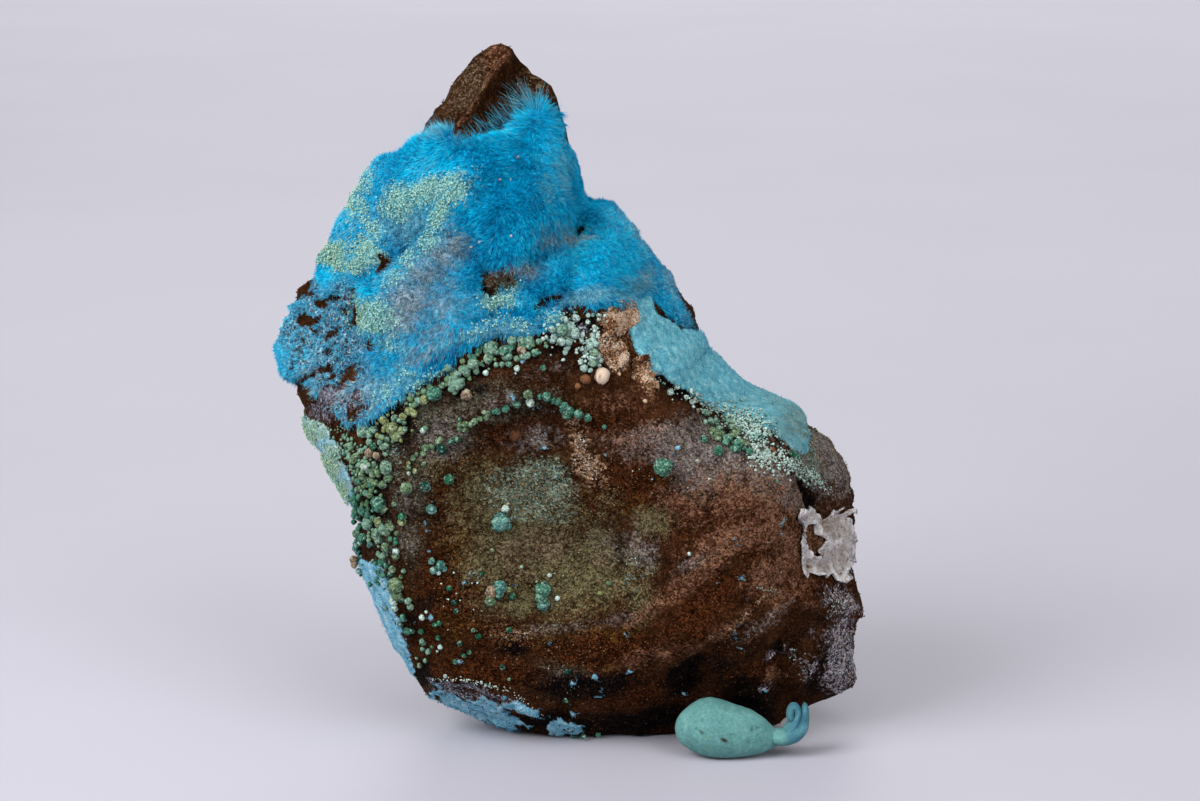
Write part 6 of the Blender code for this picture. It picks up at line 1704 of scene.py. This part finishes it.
def putty():
    """A kneaded wad pressed to the table, whose neck runs out into a curl of two folded strands."""
    station, upper, lower = np.array(WAD, float).T
    fine = np.concatenate([np.linspace(station[0], 682, 14), np.linspace(684, station[-1], 70)])
    high, low = (smoothed(at_depth(np.column_stack([fine, np.interp(fine, station, edge)]), WAD_DEPTH), 3)
                 for edge in (upper, lower))
    half = np.maximum((high[:, 2] - low[:, 2]) / 2, 0.05)
    down = np.array([[0.0, 0.0, -1.0]]).repeat(len(fine), axis=0)
    tubes = [swept((high + low) / 2, down, half, np.minimum(0.98 * half, 0.55 * half + 0.9), 72)]
    for strand in STRANDS:
        line = smoothed(evenly(np.array(strand, float), STRAND_RINGS)[0], 12)
        rounded = np.sqrt(np.clip(1 - np.linspace(-1, 1, STRAND_RINGS) ** 8, 0.02, 1))
        wide = line[:, 2] * rounded
        path = at_depth(line[:, :2], WAD_DEPTH - 0.1)
        across = np.cross(unit(np.gradient(path, axis=0)), [0.0, 1.0, 0.0])
        tubes.append(swept(path, across, wide, wide * 1.5 + 0.15, 24))
    verts, faces, start = [], [], 0
    for rings in tubes:
        made = np.concatenate([rings.reshape(-1, 3), [rings[0].mean(axis=0)], [rings[-1].mean(axis=0)]])
        verts.append(made)
        faces += [part + start for part in closed_faces(*rings.shape[:2])]
        start += len(made)
    verts = np.concatenate(verts)
    shaded_pit = spots(seen_at(verts), PITS) * (verts[:, 1] < WAD_DEPTH)
    outward = unit(verts - WAD_MIDDLE) * step_up(15.2, 14.0, verts[:, 0])[:, None]
    kneaded = 0.07 * cloud(verts, 1.6, 51, 3) + 0.02 * crags(verts, 0.7, 53, 2)
    verts += outward * (kneaded - 0.10 * shaded_pit)[:, None]
    pressed = PRESSED * np.exp(np.minimum(verts[:, 2] - PRESSED, 0) / PRESSED)
    verts[:, 2] = np.where(verts[:, 2] < PRESSED, pressed, verts[:, 2])
    # Marks: the pits, and the curl's painted shade.
    marks = np.column_stack([shaded_pit, step_up(14.6, 15.8, verts[:, 0]), np.zeros(len(verts))])
    piece = mesh_object("putty_wad", verts, faces, putty_finish(), attributes={"marks": marks})
    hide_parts("mounting_putty")


# ---------------------------------------------------------------- stage

TABLE_HALF = 6.0  # in metres
WARM_WHITE = (1.0, 0.985, 0.965)
SUNS = [  # name, turn, rise, strength and spread
    ("light_left", -42, 38, 0.5, 30), ("light_right", 38, 30, 1.35, 40), ("light_top", 20, 70, 0.85, 50),
]
LAMPS = [  # name, turn, rise, power, size, how far away, and from where
    ("lamp_left", -50, 36, 0.80, 0.16, 0.28, (-0.01, 0.0, 0.02)),
    ("lamp_back", 175, 60, 1.9, 0.6, 0.5, (0.0, 0.55, 0.0)),
]


def light(name, kind, turn, rise, energy):
    """A light that shines down from an angle of turn about the upright axis and rise over the table."""
    data = bpy.data.lights.new(name, kind)
    data.energy, data.color = energy, WARM_WHITE
    lamp = bpy.data.objects.new(name, data)
    lamp.rotation_euler = (math.radians(90 - rise), 0, math.radians(turn))
    bpy.context.collection.objects.link(lamp)
    return lamp


def stage():
    """A pale table painted a little lighter towards the back, as painted light, a pale room and soft lights.
    """
    f = Finish("pale_table")
    # Painted light: the table's colour grows a little paler towards the back.
    behind = f.node("SeparateXYZ", {"Vector": f.place()}).outputs["Y"]
    cloudy = f.noise(60.0, 2)
    near = f.tones(cloudy, (173, 172, 184), (174, 173, 185), (175, 174, 186))
    far = f.tones(cloudy, (182, 181, 193), (183, 182, 194), (184, 183, 195))
    f.done(Base_Color=f.mix(near, far, f.between(behind, 0.02, 0.22)), Roughness=0.5, Specular_IOR_Level=0.2)
    mesh = bpy.data.meshes.new("table")
    corners = [(x * TABLE_HALF, y * TABLE_HALF, 0) for x, y in ((-1, -1), (1, -1), (1, 1), (-1, 1))]
    mesh.from_pydata(corners, [], [(0, 1, 2, 3)])
    mesh.materials.append(f.material)
    floor = bpy.data.objects.new("table", mesh)
    bpy.context.collection.objects.link(floor)
    world = bpy.data.worlds.new("studio")
    bpy.context.scene.world = world
    world.use_nodes = True
    background = world.node_tree.nodes["Background"]
    background.inputs["Color"].default_value = (0.97, 0.965, 1.0, 1)
    background.inputs["Strength"].default_value = 0.35
    for name, turn, rise, strength, spread in SUNS:
        light(name, "SUN", turn, rise, strength).data.angle = math.radians(spread)
    for name, turn, rise, power, size, away, middle in LAMPS:
        lamp = light(name, "AREA", turn, rise, power)
        lamp.data.size = size
        turned, lifted = math.radians(turn), math.radians(rise)
        way = (math.sin(turned) * math.cos(lifted), -math.cos(turned) * math.cos(lifted), math.sin(lifted))
        lamp.location = [start + away * part for start, part in zip(middle, way)]


def main():
    bpy.context.scene.view_settings.view_transform = "Standard"
    add_camera()
    rock()
    velvets(palette_finish("blue_needles", NEEDLE_STOPS, 0.8, 0.06))
    spherules()
    grains()
    ochre_crust()
    glue()
    putty()
    stage()


main()
